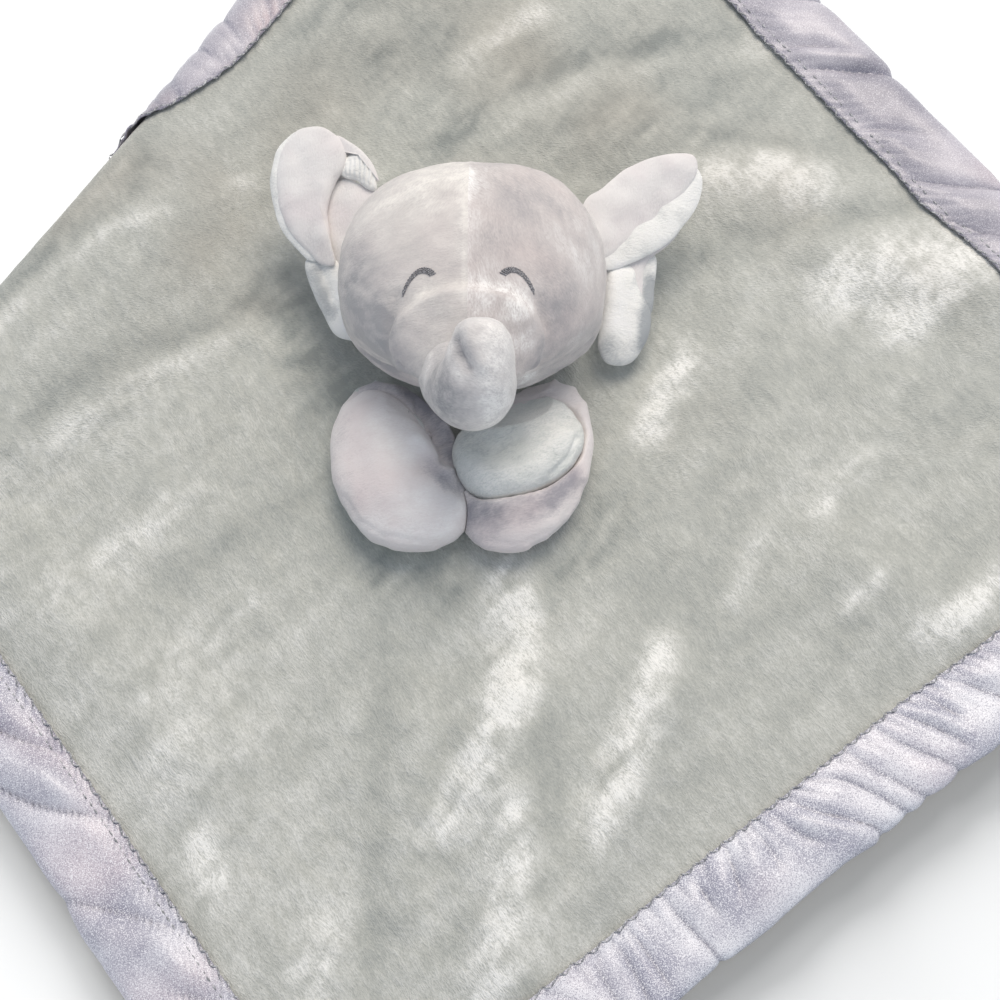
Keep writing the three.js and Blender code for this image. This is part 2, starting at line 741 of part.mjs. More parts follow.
// The short neck that closes the head's base and is sewn to the front plush.
function neckNodes() {
  const column = bare(
    new THREE.CylinderGeometry(neckRadius, neckRadius, neckHeight, neckSides),
  );
  column.rotateX(half(Math.PI));
  column.translate(neckMiddle.x, neckMiddle.y, clothTop + pieceGap + half(neckHeight));
  const neck = geometryOf(cutBy(solidOf(column), headSpace()));
  return [["neck_disc", neck, { color: 0xd3cecc, roughness: 0.9 }]];
}

const lovey = new THREE.Group();
const nodes = [
  ...blanketPieces(),
  ...neckNodes(),
  ...headPieces(),
  ...earNodes(),
  ...armNodes(),
];
for (const [name, geometry, finish] of nodes) {
  geometry.computeVertexNormals();
  const material = new THREE.MeshStandardMaterial({ ...finish, metalness: 0 });
  const mesh = new THREE.Mesh(geometry, material);
  mesh.name = name;
  lovey.add(mesh);
}

export default lovey;
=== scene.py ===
import json
import math

import bpy
import numpy as np
from mathutils import Matrix, Vector, noise

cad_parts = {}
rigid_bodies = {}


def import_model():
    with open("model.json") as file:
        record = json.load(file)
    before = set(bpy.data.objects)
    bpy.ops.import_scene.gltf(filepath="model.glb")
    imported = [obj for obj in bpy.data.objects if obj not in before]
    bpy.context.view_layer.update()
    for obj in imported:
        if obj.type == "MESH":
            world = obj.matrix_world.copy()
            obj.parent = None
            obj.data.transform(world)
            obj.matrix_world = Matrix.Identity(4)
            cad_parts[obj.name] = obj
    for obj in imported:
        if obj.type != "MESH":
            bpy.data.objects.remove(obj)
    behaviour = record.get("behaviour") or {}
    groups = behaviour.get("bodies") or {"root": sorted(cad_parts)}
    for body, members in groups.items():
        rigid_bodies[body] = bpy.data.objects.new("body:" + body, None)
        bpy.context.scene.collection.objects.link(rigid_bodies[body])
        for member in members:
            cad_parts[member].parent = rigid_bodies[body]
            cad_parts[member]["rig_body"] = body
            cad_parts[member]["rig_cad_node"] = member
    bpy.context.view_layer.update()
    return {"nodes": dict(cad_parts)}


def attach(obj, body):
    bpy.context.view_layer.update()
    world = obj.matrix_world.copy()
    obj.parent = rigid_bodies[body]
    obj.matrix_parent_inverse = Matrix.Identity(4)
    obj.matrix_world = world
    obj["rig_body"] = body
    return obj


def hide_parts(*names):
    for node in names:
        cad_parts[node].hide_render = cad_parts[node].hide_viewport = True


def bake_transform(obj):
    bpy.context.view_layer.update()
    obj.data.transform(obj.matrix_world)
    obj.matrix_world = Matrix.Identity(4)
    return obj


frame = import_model()
MM = 0.001

# ---- Camera ----
# The blanket lies on a table and is seen from above its lower corner, a little turned and rolled.
# The frame is square; the lens is a phone's, so nearer parts look slightly larger.
CAMERA_PLACE = (0.0207, -0.2119, 0.5082)
CAMERA_TURNS = ((4.36, "Z"), (90 - 70.39, "X"), (-4.71, "Z"))
CAMERA_SENSOR = 36
CAMERA_LENS = 64.8

aim = Matrix.Identity(3)
for degrees, axis in CAMERA_TURNS:
    aim = aim @ Matrix.Rotation(math.radians(degrees), 3, axis)
bpy.ops.object.camera_add(location=CAMERA_PLACE, rotation=aim.to_euler())
camera = bpy.context.object
camera.data.sensor_width = CAMERA_SENSOR
camera.data.lens = CAMERA_LENS
camera.data.clip_start = 10 * MM
bpy.context.scene.camera = camera

# ---- Table top and light ----
# A matt table top, one wide soft lamp behind the crown of the head, and a pale room all round. What
# the camera sees of table and room is white. The blanket's shadow on the table comes from two low,
# wide suns behind the head, which light nothing else.
FLOOR_SIZE = 4
FLOOR_DROP = 1 * MM
FLOOR_SEEN = "#ababab"
FLOOR_GLOW = 0.2
FLOOR_GLOW_COLOUR = "#fffbee"
FLOOR_BOUNCE = "#d8d8d6"
ROOM = "#e0e9f8"
ROOM_STRENGTH = 0.55
LAMP_PLACE = (0.2, 0.58, 1.12)
LAMP_SIZE = 0.75
LAMP_POWER = 12
LAMP_COLOUR = "#fff4e7"
TABLE_LIGHTS = (((-0.45, 1.08, 0.28), 14), ((0.25, 1.15, 0.42), 6.5))
TABLE_LIGHT_ANGLE = math.radians(36)


def linear(colour):
    """The linear values of a colour that is written as sRGB hex."""
    parts = [int(colour[i:i + 2], 16) / 255 for i in (1, 3, 5)]
    return (*(p / 12.92 if p <= 0.04045 else ((p + 0.055) / 1.055) ** 2.4 for p in parts), 1)


def add_node(tree, kind, links=None, out=0, **settings):
    """Adds a shader node and gives back its output of the name or number out; links gives its
    inputs, each a value or another node's output."""
    made = tree.nodes.new("ShaderNode" + kind)
    for name, value in settings.items():
        setattr(made, name, value)
    for name, value in (links or {}).items():
        if isinstance(value, bpy.types.NodeSocket):
            tree.links.new(value, made.inputs[name])
        else:
            made.inputs[name].default_value = value
    return made.outputs[out] if len(made.outputs) else None


def new_tree(owner):
    owner.use_nodes = True
    owner.node_tree.nodes.clear()
    return owner.node_tree


def seen_share(tree):
    """1 for rays from the camera and for what gloss and glass show, otherwise 0."""
    share = add_node(tree, "LightPath", out="Is Camera Ray")
    for ray in ("Is Glossy Ray", "Is Transmission Ray"):
        share = add_node(tree, "Math", {0: share, 1: add_node(tree, "LightPath", out=ray)},
                         operation="MAXIMUM")
    return share


def add_light(kind, place, strength, receivers):
    """Adds a light that is aimed at the toy and shines on what its receivers say."""
    towards = Vector(place).to_track_quat("Z", "Y").to_euler()
    bpy.ops.object.light_add(type=kind, location=place, rotation=towards)
    light = bpy.context.object
    light.data.energy = strength
    light.light_linking.receiver_collection = receivers
    return light.data


bpy.ops.mesh.primitive_plane_add(size=FLOOR_SIZE, location=(0, 0, -FLOOR_DROP))
floor = bpy.context.object
floor.name = "table_top"
floor.data.materials.append(bpy.data.materials.new("matt_white_table"))
tree = new_tree(floor.active_material)
plain = add_node(tree, "BsdfDiffuse", {"Color": linear(FLOOR_BOUNCE)})
shown = add_node(tree, "BsdfDiffuse", {"Color": linear(FLOOR_SEEN)})
glow = add_node(tree, "Emission", {"Color": linear(FLOOR_GLOW_COLOUR), "Strength": FLOOR_GLOW})
both = add_node(tree, "AddShader", {0: shown, 1: glow})
mixed = add_node(tree, "MixShader", {0: seen_share(tree), 1: plain, 2: both})
add_node(tree, "OutputMaterial", {"Surface": mixed})

world = bpy.data.worlds.new("pale_room")
bpy.context.scene.world = world
tree = new_tree(world)
room = add_node(tree, "Background", {"Color": linear(ROOM), "Strength": ROOM_STRENGTH})
white = add_node(tree, "Background", {"Color": (1, 1, 1, 1), "Strength": 1})
mixed = add_node(tree, "MixShader", {0: seen_share(tree), 1: room, 2: white})
add_node(tree, "OutputWorld", {"Surface": mixed})

all_but_table = bpy.data.collections.new("lit_by_lamp")
table_only = bpy.data.collections.new("lit_by_table_suns")
for receivers in (all_but_table, table_only):
    receivers.objects.link(floor)
all_but_table.collection_objects[0].light_linking.link_state = "EXCLUDE"
lamp = add_light("AREA", LAMP_PLACE, LAMP_POWER, all_but_table)
lamp.size = LAMP_SIZE
lamp.color = linear(LAMP_COLOUR)[:3]
for place, strength in TABLE_LIGHTS:
    add_light("SUN", place, strength, table_only).angle = TABLE_LIGHT_ANGLE
bpy.context.scene.view_settings.view_transform = "Standard"

# ---- Plush sheets ----
# Two squares of grey short-pile plush, cut to 349 mm, lie back to back in a blanket of 355 mm with
# its upper left edge rolled under. The pile was brushed in all directions; its sheen where it
# catches the light, its shade, and the shadows of the head and arms are painted in patches.
BLANKET_SIDE = 355 * MM
BLANKET_SHIFT = 5.5 * MM
BLANKET_TURN = math.radians(36.99)
PLUSH = 2.2 * MM
PLUSH_GAP = 0.3 * MM
SHEET_HALF = PLUSH + PLUSH_GAP / 2
SEAM_ALLOWANCE = 3 * MM
CUT_PLUSH = BLANKET_SIDE - 2 * SEAM_ALLOWANCE
BINDING_WIDTH = 25 * MM
EDGE_LIFT = 1.1 * MM
EDGE_SLOPE = 40 * MM
ROLL_RADIUS = 4.5 * MM
ROLL_START = (36 * MM, 16 * MM)
ROLL_CHANGE = (122 * MM, 195 * MM)
ROLL_INSET = (72 * MM, 12.5 * MM)
ROLL_INSET_ALONG = (63 * MM, 249 * MM)
BUNCH_LENGTH = 150 * MM
ROLL_REST = 4 * MM
ROLL_SLOPE = 45 * MM
CALM_RADIUS = 72 * MM
CALM_FADE = 30 * MM
PROBE = 0.4 * MM
# Each fold: half width and height, then its route over the blanket, in millimetres
FOLDS = [
    (15, 6, (14, -71), (12, -110), (12, -167)),
    (9, 3.4, (57, -92), (40, -125), (21, -167)),
    (13, 5.2, (110, 48), (160, 33)),
    (12, 4.2, (75, 71), (117, 65)),
    (12, 3.6, (25, 87), (71, 87)),
    (17, 4.8, (-142, -50), (-78, -110)),
    (13, 4.2, (110, -53), (138, -71)),
    (8, 2.2, (-14, -90), (-20, -150)),
    (7, 2, (36, -64), (60, -30)),
]
UNDULATION = 1.6 * MM
UNDULATION_SIZE = 55 * MM
CLUMP = 0.34 * MM
CLUMP_SIZE = 7 * MM
TUFT = 0.2 * MM
TUFT_SIZE = 3.2 * MM
FRONT_CELLS = 220
BACK_CELLS = 110
# Painted sheen where the pile stands up and catches the light, and painted shade where it lies
# flat and in valleys beside folds: half width and strength, then a route
BRUSHED_SHEEN_AND_SHADE = [
    (8, 1.1, (11, -60), (13, -79), (11, -92)),
    (6, 0.9, (11, -92), (7, -102), (1, -114), (-7, -130)),
    (5, 0.8, (10, -122), (11, -142), (7, -158), (4, -177)),
    (6, 0.8, (54, -80), (47, -100), (41, -117), (35, -131)),
    (3, 0.5, (74, -65), (83, -46)),
    (3.5, 0.6, (101, -37), (116, -23)),
    (6, 0.8, (62, 13), (55, -2), (52, -11)),
    (3.5, 0.5, (108, -68), (116, -59)),
    (6, 0.8, (130, -76), (152, -61)),
    (6, 0.9, (-4, 117), (7, 128), (20, 136)),
    (5, 0.4, (7, 98), (40, 110), (72, 117), (98, 121)),
    (9, 0.9, (70, 72), (89, 75), (105, 70)),
    (10, 0.9, (112, 34), (131, 41), (150, 47)),
    (8, 0.7, (128, 22), (146, 34), (165, 50)),
    (4, 0.5, (-147, 21), (-130, 38), (-115, 53), (-97, 59)),
    (4, 0.35, (-132, -16), (-103, 5), (-70, 23)),
    (4, 0.35, (-93, -93), (-80, -78), (-66, -63)),
    (6, 0.6, (-72, -147), (-77, -137)),
    (6, 0.6, (-46, -168), (-42, -158)),
    (3, 0.4, (-76, 72), (-72, 73)),
    (3, 0.4, (-117, 66), (-113, 66)),
    (3, 0.35, (-122, -63), (-103, -45), (-83, -29)),
    (4.5, -0.3, (-27, -60), (-27, -94), (-28, -122), (-28, -176)),
    (5.2, -0.35, (20, -64), (21, -88), (20, -111), (24, -136)),
    (4.5, -0.35, (-9, 89), (14, 111), (53, 123), (79, 125)),
    (3.8, -0.25, (7, 89), (27, 94), (71, 88), (112, 83)),
    (4.5, -0.3, (63, 45), (88, 52), (132, 62)),
    (6, -0.3, (-144, -12), (-112, 10), (-64, 33)),
    (6, -0.25, (-109, -75), (-87, -54), (-64, -37), (-44, -23)),
    (6, -0.17, (-141, -50), (-113, -25)),
    # Painted shadow of the head on the plush to its left, and darker plush right of the right arm
    (18, -0.2, (-61, 34), (-40, 0)),
    (15, -0.15, (43, -27), (64, -77)),
    # Painted shade towards the top of the blanket and painted light towards the bottom
    (40, -0.42, (-50, 140), (20, 118), (60, 100)),
    (60, 0.22, (-130, -60), (-40, -150), (40, -190)),
    # Painted shade along the rolled upper left edge, painted shadow left of the head, and the arms'
    # painted shadows below them
    (9, -0.5, (-150, 30), (-128, 52), (-108, 78)),
    (9, -0.5, (-62, 34), (-52, 16), (-43, 0)),
    (8, -0.5, (-32, -49), (-22, -57), (-8, -60)),
    (6, -0.5, (20, -57), (32, -50), (38, -40)),
]
STANDING = 0.8 * MM
PATCH_SIZE = 26 * MM
PATCH_SHARE = 0.12
SWIRL_SIZE = 8 * MM
SWIRL_SHARE = 0.12
STREAK_TURN = math.radians(48)
STREAK = 0.38
LOCK_TURN = math.radians(-42)
LOCK_STRETCH = (2.6, 1, 1.4)
LOCK_PATCH = 45 * MM
SHEEN_MOST = 1.1
LOCK_FADE = 12 * MM
# Where a tint starts that is all over its piece: far in front of the toy
ALL_OVER = -1


def smooth(t):
    t = np.clip(t, 0, 1)
    return t * t * (3 - 2 * t)


def between(low, high, t):
    return low + (high - low) * t


def lumps(points, size, seed):
    """Smooth noise from about -1 to 1 at each point, its lumps about size apart."""
    shift = Vector((seed, 2.3 * seed, 3.7 * seed))
    return 2 * np.array([noise.noise(Vector(p) / size + shift) for p in points])


def near(points, half_width, route):
    """1 on a route of plan points in millimetres, fading to 0 over about its half width."""
    place = points[:, :2] / MM
    best = np.full(len(points), np.inf)
    for start, end in zip(route, route[1:]):
        start, step = np.array(start, float), np.subtract(end, start).astype(float)
        share = np.clip((place - start) @ step / (step @ step), 0, 1)
        away = place - start - share[:, None] * step
        best = np.minimum(best, np.hypot(away[:, 0], away[:, 1]))
    return np.exp(-((best / half_width) ** 2))


ALONG = np.array([math.cos(BLANKET_TURN), math.sin(BLANKET_TURN), 0])
ACROSS = np.array([math.sin(BLANKET_TURN), -math.cos(BLANKET_TURN), 0])
LEFT_CORNER = np.array([-BLANKET_SHIFT, 0, 0]) - (ALONG + ACROSS) * BLANKET_SIDE / 2


def cloth_middle(along, across):
    """The blanket's middle surface: along its upper left edge, and across from that edge."""
    start = between(*ROLL_START, smooth((along - ROLL_CHANGE[0]) / np.ptp(ROLL_CHANGE)))
    share = np.clip((along - ROLL_INSET_ALONG[0]) / np.ptp(ROLL_INSET_ALONG), 0, 1)
    seat = between(*ROLL_INSET, share) + ROLL_RADIUS
    past = start - across
    bend = np.clip(past / ROLL_RADIUS, 0, math.pi)
    under = np.maximum(past - math.pi * ROLL_RADIUS, 0)
    bunch = (seat - start) * (1 - smooth(-past / BUNCH_LENGTH))
    rolled = past > 0
    out = np.where(rolled, seat - ROLL_RADIUS * np.sin(bend) + under, across + bunch)
    place = LEFT_CORNER + along[:, None] * ALONG + out[:, None] * ACROSS
    lift = np.zeros(len(place))
    for half_width, height, *route in FOLDS:
        lift = np.maximum(lift, height * MM * near(place, half_width, route))
    lift += UNDULATION * np.abs(lumps(place, UNDULATION_SIZE, 5))
    lift *= smooth((np.hypot(place[:, 0], place[:, 1]) - CALM_RADIUS) / CALM_FADE)
    edge = np.minimum(np.minimum(along, across), BLANKET_SIDE - np.maximum(along, across))
    flat = SHEET_HALF + EDGE_LIFT * (1 - smooth((edge - BINDING_WIDTH) / EDGE_SLOPE))
    rest = np.maximum(start - math.pi * ROLL_RADIUS, 0) + ROLL_REST
    raised = 1 - smooth((-past - rest) / ROLL_SLOPE)
    rim = SHEET_HALF + EDGE_LIFT
    lying = between(flat, rim, raised) + 2 * ROLL_RADIUS * raised + lift * (1 - raised)
    turned = rim + 2 * ROLL_RADIUS - ROLL_RADIUS * (1 - np.cos(bend))
    place[:, 2] = np.where(rolled, turned, lying)
    return place


def cloth_point(along, across, rise):
    """Points off the blanket's middle surface by rise, on the side that shows."""
    by_along = cloth_middle(along + PROBE, across) - cloth_middle(along - PROBE, across)
    by_across = cloth_middle(along, across + PROBE) - cloth_middle(along, across - PROBE)
    normal = np.cross(by_across, by_along)
    normal /= np.linalg.norm(normal, axis=1)[:, None]
    return cloth_middle(along, across) + normal * np.reshape(rise, (-1, 1))


def strokes_at(points, strokes):
    """How strongly the strokes act at each point: they raise or flatten the pile, and paint its
    sheen and shade.
    """
    return sum(strength * near(points, half_width, route)
               for half_width, strength, *route in strokes)


def drawn_out(points, share):
    """Points squeezed along the weave, so that noise read at them lies in streaks."""
    weave = np.array([math.cos(STREAK_TURN), math.sin(STREAK_TURN), 0])
    return points - np.outer(points @ weave, weave) * (1 - share)


def vectors_of(rows, name):
    """One vector of each vertex, normal or face, as an array."""
    flat = np.empty(3 * len(rows), np.float32)
    rows.foreach_get(name, flat)
    return flat.reshape(-1, 3).astype(float)


def points_of(piece):
    return vectors_of(piece.data.vertices, "co")


def normals_of(piece):
    return vectors_of(piece.data.vertex_normals, "vector")


def set_points(piece, points):
    piece.data.vertices.foreach_set("co", points.astype(np.float32).ravel())
    piece.data.update()


def pick(*pieces):
    """Selects these pieces alone; the first one is active."""
    bpy.ops.object.select_all(action="DESELECT")
    for piece in pieces:
        piece.select_set(True)
    bpy.context.view_layer.objects.active = pieces[0]


def apply_modifier(piece, kind, **settings):
    pick(piece)
    made = piece.modifiers.new(kind.title(), kind)
    for name, value in settings.items():
        setattr(made, name, value)
    bpy.ops.object.modifier_apply(modifier=made.name)


def store(piece, name, values):
    """Keeps a value for each point, which the piece's material reads by its name."""
    made = piece.data.attributes.new(name, "FLOAT", "POINT")
    made.data.foreach_set("value", values.astype(np.float32))


def paint_sheen_and_shade(piece, strokes, seed, patch=PATCH_SIZE, patch_share=PATCH_SHARE,
          swirl=SWIRL_SIZE, swirl_share=SWIRL_SHARE, streak=1.0, rough=0.4):
    """Stores painted sheen and shade for the pile: pale where it stands up and catches the
    light, dark where it lies flat or lies in shade.
    """
    points = points_of(piece)
    grain = drawn_out(points, streak)
    sheen_and_shade = patch_share * lumps(grain, patch, seed) + swirl_share * lumps(grain, swirl, seed + 1)
    if strokes:
        ragged = 1 + rough * (lumps(grain, swirl, seed + 3) + lumps(grain, 0.4 * swirl, seed + 4))
        sheen_and_shade = np.minimum(sheen_and_shade + ragged * strokes_at(points, strokes), SHEEN_MOST)
    store(piece, "sheen_and_shade", sheen_and_shade)


def finish_piece(piece, name, material):
    piece.name = name
    piece.data.name = name
    piece.data.materials.clear()
    piece.data.materials.append(material)
    pick(piece)
    bpy.ops.object.shade_smooth()



def new_material(name):
    """A new material, its empty tree, and the place on the piece that its patterns read."""
    material = bpy.data.materials.new(name)
    tree = new_tree(material)
    return material, tree, add_node(tree, "TexCoord", out="Object")


def coloured(tree, colour, layers):
    """Lays other colours over a first one. Each layer says what it follows, where it starts and
    where it is full, how much it then covers, and its colour."""
    colour = linear(colour)
    for follows, start, full, most, over in layers:
        share = add_node(tree, "MapRange", {0: follows, 1: start, 2: full, 4: most})
        colour = add_node(tree, "Mix", {0: share, 6: colour, 7: linear(over)}, 2,
                          data_type="RGBA")
    return colour


def finish_cloth(tree, colour, height, strength, depth, shine):
    """Joins a cloth's colour, the relief of its threads or pile, and its shine."""
    raised = add_node(tree, "Bump", {"Height": height, "Strength": strength, "Distance": depth})
    cloth = add_node(tree, "BsdfPrincipled", {"Base Color": colour, "Normal": raised, **shine})
    add_node(tree, "OutputMaterial", {"Surface": cloth})


def pile_material(name, shade, base, light, pile, contrast, relief, lean, sheen, blush=None,
                  glint_most=1.7):
    """A short brushed pile. pile is the size of its finest locks, which lie at the angle lean
    above the arms and steeper below; the attribute of painted sheen and shade, and noise, take it
    from shade to light. Where the pile stands up its contrast grows by glint_most, as painted
    glints. blush is a warmer tint, the size of its patches, its share and how far up the blanket it
    starts."""
    material, tree, place = new_material(name)
    sheen_and_shade = add_node(tree, "Attribute", out="Fac", attribute_name="sheen_and_shade")
    drift = add_node(tree, "TexNoise", {"Vector": place, "Scale": 1 / (30 * pile), "Detail": 1.0},
                     "Color")
    drift = add_node(tree, "VectorMath", {0: drift, "Scale": 7 * pile}, operation="SCALE")
    swept = add_node(tree, "VectorMath", {0: place, 1: drift})
    ways = []
    for turn in (lean, lean + LOCK_TURN):
        laid = add_node(tree, "Mapping", {"Vector": swept, "Rotation": (0, 0, turn),
                                          "Scale": LOCK_STRETCH}, vector_type="TEXTURE")
        ways.append(add_node(tree, "TexNoise", {"Vector": laid, "Scale": 1 / pile, "Detail": 3.0,
                                                "Roughness": 0.62}))
    # Noise stays mostly between 0.3 and 0.7, so that part of it is spread over the wanted range
    stray = add_node(tree, "TexNoise", {"Vector": place, "Scale": 1 / LOCK_PATCH})
    stray = add_node(tree, "MapRange", {0: stray, 1: 0.3, 2: 0.7, 3: -LOCK_PATCH, 4: LOCK_PATCH})
    ahead = add_node(tree, "SeparateXYZ", {0: place}, "Y")
    ahead = add_node(tree, "Math", {0: ahead, 1: stray})
    steep = add_node(tree, "MapRange", {0: ahead, 1: LOCK_FADE, 2: -LOCK_FADE})
    locks = add_node(tree, "Mix", {0: steep, 2: ways[0], 3: ways[1]}, data_type="FLOAT")
    tufts = add_node(tree, "TexNoise", {"Vector": laid, "Scale": 1 / (5 * pile), "Detail": 2.0})
    fine = add_node(tree, "MapRange", {0: locks, 1: 0.28, 2: 0.72, 3: -contrast, 4: contrast})
    broad = add_node(tree, "MapRange", {0: tufts, 1: 0.3, 2: 0.7, 3: -0.5 * contrast,
                                        4: 0.5 * contrast})
    glint = add_node(tree, "MapRange", {0: sheen_and_shade, 1: 0.2, 2: 1.0, 3: 0.85, 4: glint_most})
    tone = add_node(tree, "Math", {0: fine, 1: broad})
    tone = add_node(tree, "Math", {0: tone, 1: glint}, operation="MULTIPLY")
    tone = add_node(tree, "Math", {0: tone, 1: sheen_and_shade})
    layers = [(tone, -1.0, 0.0, 1.0, base), (tone, 0.0, 1.3, 1.0, light)]
    if blush:
        tint, size, share, start = blush
        warm = add_node(tree, "TexNoise", {"Vector": place, "Scale": 1 / size})
        warm = add_node(tree, "MapRange", {0: warm, 1: 0.45, 2: 0.7})
        past = add_node(tree, "MapRange", {0: ahead, 1: start, 2: start + size})
        warm = add_node(tree, "Math", {0: warm, 1: past}, operation="MULTIPLY")
        layers.append((warm, 0.0, 1.0, share, tint))
    height = add_node(tree, "Math", {0: locks, 1: tufts})
    finish_cloth(tree, coloured(tree, shade, layers), height, 0.8, relief, {
        "Roughness": 0.88, "Specular IOR Level": 0.25, "Sheen Weight": sheen,
        "Sheen Roughness": 0.45, "Sheen Tint": linear(light)})
    return material


# Polyester plush: pale grey locks a few tenths of a millimetre wide give it a frosted, ragged look
plush_grey = pile_material("short_pile_polyester_plush", "#969b98", "#c3c5be", "#fffffa",
                           pile=0.42 * MM, contrast=0.38, relief=0.6 * MM,
                           lean=math.radians(-12), sheen=0.25,
                           blush=("#b5ac9e", 85 * MM, 0.45, 20 * MM), glint_most=2.1)


def plush_sheet(name, cells, rise, seed):
    """One square of plush, its pile side at rise off the blanket's middle surface."""
    bpy.ops.mesh.primitive_grid_add(x_subdivisions=cells, y_subdivisions=cells, size=1)
    piece = bpy.context.object
    flat = points_of(piece)
    along = SEAM_ALLOWANCE + (0.5 + flat[:, 0]) * CUT_PLUSH
    across = SEAM_ALLOWANCE + (0.5 - flat[:, 1]) * CUT_PLUSH
    edge = np.minimum(np.minimum(along, across), BLANKET_SIDE - np.maximum(along, across))
    loose = smooth((edge - BINDING_WIDTH) / BINDING_WIDTH)
    clumps = CLUMP * lumps(flat * BLANKET_SIDE, CLUMP_SIZE, seed)
    tufts = TUFT * lumps(flat * BLANKET_SIDE, TUFT_SIZE, seed + 1)
    stood = STANDING * strokes_at(cloth_middle(along, across), BRUSHED_SHEEN_AND_SHADE)
    points = cloth_point(along, across, rise + loose * (clumps + tufts + stood))
    points[:, 2] = np.maximum(points[:, 2], PLUSH)
    set_points(piece, points)
    paint_sheen_and_shade(piece, BRUSHED_SHEEN_AND_SHADE, seed, streak=STREAK, rough=0.5)
    apply_modifier(piece, "SOLIDIFY", thickness=PLUSH, offset=-1)
    finish_piece(piece, name, plush_grey)
    return piece


front_plush = plush_sheet("front_plush", FRONT_CELLS, SHEET_HALF, 11)
back_plush = plush_sheet("back_plush", BACK_CELLS, -PLUSH_GAP / 2, 19)
for sheet, node in ((front_plush, "blanket_front_plush"), (back_plush, "blanket_back_plush")):
    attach(sheet, "blanket")
    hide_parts(node)

# ---- Satin binding ----
# Four strips of lilac-grey satin, 56 mm wide, are folded over the plush edges and sewn through.
# The thread draws the satin in, so it puckers; polyester filaments make it glitter. The glitter is
# painted as bright grains, and painted shade darkens its creases, pinches, seam and fold
# undersides.
SATIN = 0.5 * MM
SATIN_STAND = SHEET_HALF + 0.8 * MM
STRIP_TOP = BINDING_WIDTH - SATIN_STAND
STRIP_ARC = 2 * STRIP_TOP + math.pi * SATIN_STAND
MITRE_GAP = 1 * MM
BUTT_GAP = 0.1 * MM
END_FADE = 6 * MM
END_PINCH = 2.6 * MM
STRIP_CELLS = 300
SECTION_CELLS = 44
# For each strip: node, spacing of its puckers from and to, their height, their slant, its two
# ends (whole, mitred or butted) and a seed
STRIPS = {
    "upper_left": (8, 18, 1.5, 0.3, "whole", "whole", 2),
    "lower_right": (6, 14, 3.2, 0.25, "mitred", "mitred", 3),
    "lower_left": (16, 38, 3.8, -1.1, "butted", "mitred", 4),
    "upper_right": (11, 28, 4.0, 1.0, "butted", "mitred", 6),
}
PINCH = 1.2 * MM
PINCH_REACH = 6 * MM
PINCH_SHADE = 1.0
SEAM_SHADE = 0.75
SEAM_REACH = 0.8 * MM
SCALLOP = 2.2 * MM
CREASE = 0.9 * MM
UNDER_SHADE = 0.75
# Puffs: sizes, how far creases reach down the strip, and how soon they end there
PUFF_SIZES = (0.35, 1)
CREASE_REACHES = (0.6, 2.4)
CREASE_END = 0.35
CREASES_DRAWN = 200
CREASES_START = 80 * MM
PUFF_LUMP = 22 * MM
PUFF_DEPTH = 9 * MM
SLANT_LUMP = 28 * MM
FOLD_REACH = 4 * MM
TUCKS = (2.6, 6)


def strip_place(side, station, inside):
    """The cloth place of a strip's point: station along its edge, inside from its outer fold."""
    if side == "upper_left":
        return station, inside
    if side == "lower_right":
        return station, BLANKET_SIDE - inside
    if side == "lower_left":
        return inside, station
    return BLANKET_SIDE - inside, station


def puffs(station, inner, least, most, seed):
    """The puffs' height, low at creases that lie least to most millimetres apart, and the painted
    shade of the creases; each crease fades on its way from the seam, where inner is 0, to the outer
    fold."""
    draw = np.random.default_rng(seed)
    creases = np.cumsum(draw.uniform(least, most, CREASES_DRAWN)) * MM - CREASES_START
    sizes = draw.uniform(*PUFF_SIZES, CREASES_DRAWN)
    reaches = draw.uniform(*CREASE_REACHES, CREASES_DRAWN)
    i = np.searchsorted(creases, station)
    width = creases[i] - creases[i - 1]
    share = (station - creases[i - 1]) / width
    reach = reaches[np.where(share < 0.5, i - 1, i)]
    kept = smooth((reach - inner) / CREASE_END)
    size = np.interp(station, (creases[1:] + creases[:-1]) / 2, sizes[1:])
    away = np.minimum(share, 1 - share) * width
    valley = 1 - np.sqrt(np.abs(np.sin(math.pi * share)))
    return size * (1 - kept * valley), kept * np.exp(-((away / CREASE) ** 2))


def strip_ends(kind):
    """How far from the corner a strip starts: a share of its inside distance, and a length."""
    places = {"whole": (0, 0), "mitred": (1, MITRE_GAP), "butted": (0, BINDING_WIDTH + BUTT_GAP)}
    return places[kind]


